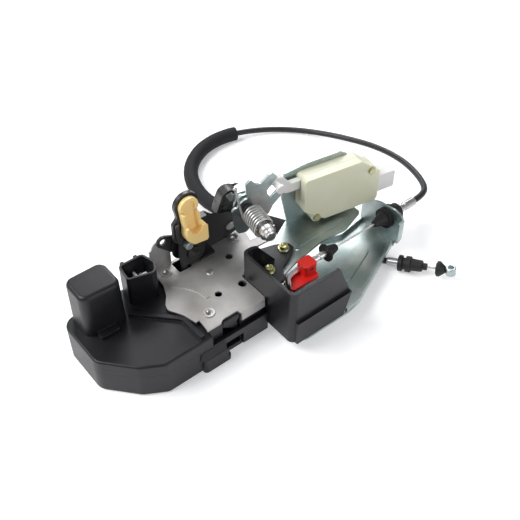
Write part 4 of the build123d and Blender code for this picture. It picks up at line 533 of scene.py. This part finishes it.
# ------------------------------------------------------------------ plated brackets
# Cable bracket, lock-actuator bracket and the forked lever: sheet steel, zinc plated and clear passivated.
# The plating is bright, slightly blue-green, with soft clouds and faint scuffs spread evenly over it.
zinc = Paint("zinc_plate", Metallic=1.0)
clouds = zinc.noise(46, 4.0, 0.6)
scuffs = zinc.noise(700, 3.0, 0.7)
zinc.set(Base_Color=zinc.blend(clouds.above(0.35, 0.68), (0.34, 0.41, 0.41), (0.52, 0.56, 0.55)))
zinc.set(Roughness=0.28 + clouds * 0.16 + scuffs * 0.08)
zinc.relief(scuffs + clouds * 3.0, 0.008 * MM, 0.4 * MM)
coat(zinc, "cable_bracket", "actuator_bracket", "pivot_spacer", "stop_pin")
coat(zinc, "lock_lever", "cam_lever", "far_ring")

# ------------------------------------------------------------------ torsion spring
# Wound from drawn spring wire and slid over the pivot pin.
# One leg rises past the forked lever and ends in a small ball.
PIVOT = Vector(joint("lock_lever_turn")["pos_m"]) / MM
TO_FRONT = Vector(joint("lock_lever_turn")["axis"])
ALONG = Vector((-TO_FRONT.y, TO_FRONT.x, 0))
COIL_R = 7.2
COIL_WIRE_R = 0.95
COIL_FROM = 6.6
COIL_PITCH = 2.6
COIL_TURNS = 7.5
COIL_STEPS = 32
LEG = [(-12.2, 26.2, -0.9), (-COIL_R - 1.0, 4.4, -0.6), (-COIL_R - 0.15, 1.6, -0.1)]
BALL_R = 1.5
BALL_STEPS = 10


def stack(off):
    """Upright plane across the pivot pin, off in front of the forked lever."""

    def place(along, up, depth):
        return (PIVOT + TO_FRONT * (off - depth) + ALONG * along + Vector((0, 0, up))) * MM

    return place


def wound_spring(bm):
    """Leg and coil in one run of wire, and the ball on the leg's tip."""
    line = [stack(COIL_FROM + off)(along, up, 0) for along, up, off in LEG]
    for step in range(int(COIL_TURNS * COIL_STEPS) + 1):
        turn = math.pi + math.tau * step / COIL_STEPS
        off = COIL_FROM + COIL_PITCH * step / COIL_STEPS
        line.append(stack(off)(COIL_R * math.cos(turn), COIL_R * math.sin(turn), 0))
    skin(bm, rings_along(line, [COIL_WIRE_R * MM] * len(line), 12))
    poles = [math.pi * k / BALL_STEPS for k in range(1, BALL_STEPS)]
    axis = (line[0] - line[1]).normalized()
    ball_line = [line[0] - axis * BALL_R * MM * math.cos(p) for p in poles]
    skin(bm, rings_along(ball_line, [BALL_R * MM * math.sin(p) for p in poles], 16))


spring = smooth(mesh_object("wound_spring", wound_spring))
spring.data.materials.append(wire.material)
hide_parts("torsion_spring")
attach(spring, "root")

# ------------------------------------------------------------------ pivot bracket
# Blackened bracket behind the stack: an arched strap with a rolled edge holds the pin, a tab is riveted on. The
# blackened colour of its neck, between the arch and the pin, is painted shade for the plated lever in shadow
# behind the spring's leg.
# A small plated catch is staked through it beside the spring's leg.
BRACKET_OFF = -21.0
BRACKET_SHEET = 2.0
ROLL_SHIFT = (1.1, -1.5)
ROLL_DEPTH = (-7.0, 0.5)
ARCH = [(-18.0, -10.6), (-14.6, 0.2), (-11.9, 5.8), (-6.9, 8.1), (-1.1, 6.4)]
# Outline of the neck: a dark sheet put where a plated lever lies in shadow, so its colour is painted shade.
PAINTED_SHADE_NECK = [(4.2, 5.0), (6.6, 0.0), (9.6, -8.0), (8.0, -14.0), (-5.2, -16.4), (-14.0, -20.0), (-16.0, -14.0)]
TAB = [(52.5, 3.0), (68.5, 3.0), (72.0, 22.0), (71.0, 30.0), (54.0, 30.0), (52.5, 20.0)]
TAB_Y = 56.0
CATCH = [(-10.1, 4.6), (-4.8, 6.2), (-1.7, -0.9), (-6.7, -2.3)]
CATCH_OFF = -14.0
CATCH_SHEET = 2.0


def rounded_line(points, per=6):
    """Denser line over the points, as a spline through them."""
    ends = [points[0], *points, points[-1]]
    made = []
    for a, b, c, d in zip(ends, ends[1:], ends[2:], ends[3:]):
        for k in range(per):
            t = k / per
            made.append(tuple(
                0.5 * (2 * b[i] + (c[i] - a[i]) * t + (2 * a[i] - 5 * b[i] + 4 * c[i] - d[i]) * t ** 2
                       + (3 * b[i] - a[i] - 3 * c[i] + d[i]) * t ** 3)
                for i in (0, 1)
            ))
    return made + [points[-1]]


def arched_bracket(bm):
    """Plate with its neck (a dark sheet that is painted shade), the rolled edge of the arch, and the riveted tab.
    """
    plane = stack(BRACKET_OFF)
    arch = rounded_line(ARCH)
    prism(bm, arch + PAINTED_SHADE_NECK, plane, 0, BRACKET_SHEET)
    inner = [(u + ROLL_SHIFT[0], v + ROLL_SHIFT[1]) for u, v in arch]
    prism(bm, arch + inner[::-1], plane, *ROLL_DEPTH)
    prism(bm, TAB, front(TAB_Y), 0, BRACKET_SHEET)


bracket = eased(mesh_object("arched_bracket", arched_bracket), 0.3 * MM)
# Painted shade: on the neck the dark finish stands in for shaded plated metal behind the spring's leg; on the
# strap it is the bracket's own colour.
bracket.data.materials.append(dark.material)
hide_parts("pivot_bracket")
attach(bracket, "root")


def plated_catch(bm):
    """Small four-cornered blank."""
    prism(bm, CATCH, stack(CATCH_OFF), 0, CATCH_SHEET)


catch = eased(mesh_object("plated_catch", plated_catch), 0.3 * MM)
catch.data.materials.append(bright.material)
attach(catch, "root")

# ------------------------------------------------------------------ guard
# Deep black moulding that shields the cable end, with a deck round its two screws.
# The screws hold it and the actuator bracket down; their flanged hexagon heads are yellow passivated.
coat(black, "guard")

DECK_FILL = [
    (55.5, 9.6), (58.0, 23.0), (61.0, 25.4), (67.8, 23.7), (76.5, 21.3), (81.7, 18.5), (84.6, 13.1),
    (82.7, 7.1), (78.3, 3.6), (70.5, 2.6), (66.0, -1.5), (58.0, -3.0),
]
DECK_Z = (2.6, 4.7)


def level(z):
    """Level plane at z, as a function of x, y and height above it."""
    return lambda x, y, height: Vector((x, y, z + height)) * MM


def guard_deck(bm):
    """Floor of the guard round the two screws."""
    prism(bm, DECK_FILL, level(DECK_Z[0]), 0, DECK_Z[1] - DECK_Z[0])


deck = eased(mesh_object("guard_deck", guard_deck), 0.5 * MM)
deck.data.materials.append(black.material)
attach(deck, "root")

gilt = Paint("yellow_passivate", Metallic=1.0)
film = gilt.noise(320, 3.0)
gilt.set(Base_Color=gilt.blend(film.above(0.4, 0.62), (0.52, 0.44, 0.20), (0.34, 0.42, 0.30)))
gilt.set(Roughness=0.24 + film * 0.12)
gilt.relief(film, 0.01 * MM, 0.2 * MM)
coat(gilt, "guard_screws", "bracket_screws", "lock_screws")

GUARD_SCREWS = [(79.8, 13.3), (56.6, 2.3)]
DECK_TOP_Z = 4.8
SHANK_END_Z = -0.3
HEAD_STEPS = 48
HEAD_PROFILE = [
    (2.0, SHANK_END_Z - DECK_TOP_Z, 0), (2.0, 0.0, 0), (4.6, 0.0, 0), (4.6, 0.5, 0), (4.2, 0.95, 0),
    (3.75, 1.0, 0.3), (3.65, 1.1, 1), (3.65, 2.9, 1), (3.3, 3.4, 0.8), (2.35, 3.4, 0), (2.15, 3.1, 0),
    (1.5, 2.3, 0), (0.4, 2.1, 0),
]


def hex_screws(bm):
    """Flanged hexagon heads with a dished top, each skinned over rings that go from round to hexagon."""
    for x, y in GUARD_SCREWS:
        rings = []
        for radius, height, hexed in HEAD_PROFILE:
            ring = []
            for k in range(HEAD_STEPS):
                turn = math.tau * k / HEAD_STEPS
                flat = math.cos(math.pi / 6) / math.cos(turn % (math.pi / 3) - math.pi / 6)
                reach = radius * (1 + (flat - 1) * hexed)
                offset = Vector((reach * math.cos(turn), reach * math.sin(turn), height))
                ring.append((Vector((x, y, DECK_TOP_Z)) + offset) * MM)
            rings.append(ring)
        skin(bm, rings)


screws = smooth(mesh_object("hex_screws", hex_screws), 30)
screws.data.materials.append(gilt.material)
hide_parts("guard_screws")
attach(screws, "root")

# ------------------------------------------------------------------ lock actuator
# Two-piece case of natural nylon, milky and slightly green, screwed together at two corners.
# A white plunger works the forked lever and a moulded plug socket leaves the far end.
natural = Paint("natural_nylon", Subsurface_Weight=0.55, Subsurface_Scale=4.0 * MM, IOR=1.5)
natural.set(Subsurface_Radius=(1.0, 0.9, 0.6))
haze = natural.noise(42, 3.0)
natural.set(Base_Color=natural.blend(haze, (0.66, 0.66, 0.48), (0.76, 0.75, 0.58)))
natural.set(Roughness=0.30 + haze * 0.08)
natural.relief(natural.noise(300), 0.01 * MM, 0.5 * MM)
coat(natural, "lock_case_front", "lock_case_rear")
coat(white, "lock_connector")

# ------------------------------------------------------------------ cable end at the latch
# Hooked rod of plated wire with a red snap clip, and a collar crimped on it that grips the inner wire.
# The inner wire is stranded steel and runs through a rubber cone into the sheath.
red = Paint("red_acetal", Subsurface_Weight=0.15, Subsurface_Scale=1.5 * MM, IOR=1.48)
red.set(Base_Color=red.blend(red.noise(90), (0.82, 0.018, 0.014), (0.90, 0.03, 0.022)))
red.set(Roughness=0.30 + red.noise(500) * 0.08)
red.relief(red.noise(420), 0.01 * MM, 0.3 * MM)
coat(red, "cable_clip")
coat(steel, "cable_ferrule", "far_ferrule")

CABLE_Y = -5.0
CABLE_Z = -2.8
ROD_R = 2.2
ROD_TIP_SHARE = 0.8
ROD_LINE = [
    (63.6, -12.4, -15.0), (63.6, -12.4, -9.0), (64.4, -10.8, -4.6), (67.0, -7.6, -2.8), (71.5, -5.6, -2.6),
    (77.0, CABLE_Y, CABLE_Z), (92.0, CABLE_Y, CABLE_Z),
]
CRIMP_R = 2.7
CRIMP = [
    (92.0, 2.2), (92.4, CRIMP_R), (96.0, CRIMP_R), (96.4, 2.4), (99.0, 2.4), (99.4, CRIMP_R),
    (105.6, CRIMP_R), (106.0, 2.3),
]
WIRE_LINE = [(99.0, CABLE_Y, CABLE_Z), (187.6, CABLE_Y, CABLE_Z)]
WIRE_R = 0.85
STRAND_R = 0.42
STRANDS = 6
STRAND_PITCH = 9.0
STRAND_STEPS = 160


def hooked_rod(bm):
    """Bent rod, thinner at its tip, and the collar crimped on its straight end."""
    flat = [p[:2] for p in ROD_LINE]
    rise = [(p[0], p[2]) for p in ROD_LINE]
    line = [Vector((x, y, z)) * MM for (x, y), (_, z) in zip(rounded_line(flat), rounded_line(rise))]
    radii = [ROD_R * ROD_TIP_SHARE * MM] + [ROD_R * MM] * (len(line) - 1)
    skin(bm, rings_along(line, radii, 20))
    points = [Vector((x, CABLE_Y, CABLE_Z)) * MM for x, _ in CRIMP]
    skin(bm, rings_along(points, [r * MM for _, r in CRIMP], 24))


rod = smooth(mesh_object("hooked_rod", hooked_rod))
rod.data.materials.append(bright.material)
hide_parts("cable_rod")
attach(rod, "cable_near")


def stranded(bm):
    """Strands twisted round a straight line."""
    start, end = (Vector(p) * MM for p in WIRE_LINE)
    for strand in range(STRANDS):
        line = []
        for step in range(STRAND_STEPS + 1):
            share = step / STRAND_STEPS
            turn = math.tau * (strand / STRANDS + share * (end - start).length / (STRAND_PITCH * MM))
            offset = Vector((0, math.cos(turn), math.sin(turn))) * (WIRE_R - STRAND_R) * MM
            line.append(start.lerp(end, share) + offset)
        skin(bm, rings_along(line, [STRAND_R * MM] * len(line), 6))


strands = smooth(mesh_object("stranded_wire", stranded), 60)
strands.data.materials.append(bright.material)
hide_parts("inner_wire")
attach(strands, "cable_near")

# ------------------------------------------------------------------ release cable
# Steel-wound conduit under a black polymer jacket; it sweeps out behind the brackets and back to the far end.
# The line is smooth and its ends point straight out of their crimped ferrules.
ROUTE = [
    (203.0, -5.0, -2.8), (213.0, -5.0, -2.8), (226.0, 2.0, -4.8), (239.0, 25.0, -9.5), (248.0, 52.0, -15.0),
    (250.0, 82.0, -21.0), (245.0, 112.0, -27.0), (233.0, 142.0, -31.0), (212.0, 168.0, -32.0),
    (184.0, 184.0, -30.0), (156.0, 192.0, -28.5), (128.0, 189.0, -28.4), (103.0, 172.0, -28.4),
    (91.0, 148.0, -28.5), (88.0, 122.0, -28.4), (97.0, 96.0, -28.5), (110.0, 74.0, -28.4),
    (122.0, 52.0, -28.6), (136.0, 32.0, -29.6), (145.5, 14.0, -31.8), (150.5, -4.0, -32.2),
    (154.4, -16.7, -30.7), (158.5, -23.5, -29.7),
]
JACKET_R = 2.6 * MM


def spline_object(name, points, radius=0.0, steps=12):
    """Smooth curve over the points, round when it has a radius."""
    curve = bpy.data.curves.new(name, "CURVE")
    curve.dimensions = "3D"
    curve.resolution_u = steps
    curve.bevel_depth = radius
    curve.bevel_resolution = 5
    curve.use_fill_caps = radius > 0
    line = curve.splines.new("NURBS")
    line.points.add(len(points) - 1)
    for point, place in zip(line.points, points):
        point.co = (*place, 1)
    line.order_u = 3
    line.use_endpoint_u = True
    made = bpy.data.objects.new(name, curve)
    scene.collection.objects.link(made)
    return made


jacket = Paint("cable_jacket", IOR=1.5, Specular_IOR_Level=0.45, Base_Color=(0.014, 0.014, 0.016))
jacket.set(Roughness=0.36 + jacket.noise(220, 3.0) * 0.16)
jacket.relief(jacket.noise(900), 0.03 * MM)
route = [Vector(p) * MM for p in ROUTE]
sheath = spline_object("release_cable", route, JACKET_R)
sheath.data.materials.append(jacket.material)
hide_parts("cable_sheath")
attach(sheath, "root")

# ------------------------------------------------------------------ foam sleeve
# Soft closed-cell tube slid over the cable to stop it rattling in the door.
# Matt black and slightly pitted, with its ends drawn in a little round the cable.
guide = spline_object("guide", route, steps=24)
bpy.context.view_layer.update()
line_mesh = bpy.data.meshes.new_from_object(guide.evaluated_get(bpy.context.evaluated_depsgraph_get()))
cable_line = [v.co.copy() for v in line_mesh.vertices]
bpy.data.meshes.remove(line_mesh)
bpy.data.objects.remove(guide)
FOAM_R = 6.5 * MM
FOAM_UNEVEN = 0.012
FOAM_END_RADII = [FOAM_R * 0.55, FOAM_R * 0.95]
FOAM_SEED = 4
FOAM_ENDS = (Vector((170, 188, -29.25)) * MM, Vector((129, 42, -29.1)) * MM)


def nearest(point):
    """Number of the point on the cable's line that lies nearest."""
    return min(range(len(cable_line)), key=lambda i: (cable_line[i] - point).length)


first, last = (nearest(p) for p in FOAM_ENDS)
wobble = random.Random(FOAM_SEED)
swell = [FOAM_R * (1 + FOAM_UNEVEN * (wobble.random() - 0.5)) for _ in range(last + 1 - first)]
swell[:2] = FOAM_END_RADII
swell[-2:] = reversed(FOAM_END_RADII)


def foam_tube(bm):
    """Uneven tube along the stretch of the cable between the foam's two ends."""
    skin(bm, rings_along(cable_line[first:last + 1], swell, 32))


sleeve = smooth(mesh_object("foam_tube", foam_tube))
foam = Paint("closed_cell_foam", IOR=1.45, Specular_IOR_Level=0.25)
cells = foam.noise(1300, 4.0, 0.7)
foam.set(Base_Color=foam.blend(cells, (0.012, 0.012, 0.013), (0.026, 0.026, 0.028)))
foam.set(Roughness=0.62 + cells * 0.15)
foam.relief(cells, 0.12 * MM)
sleeve.data.materials.append(foam.material)
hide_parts("foam_sleeve")
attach(sleeve, "root")
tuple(route[0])
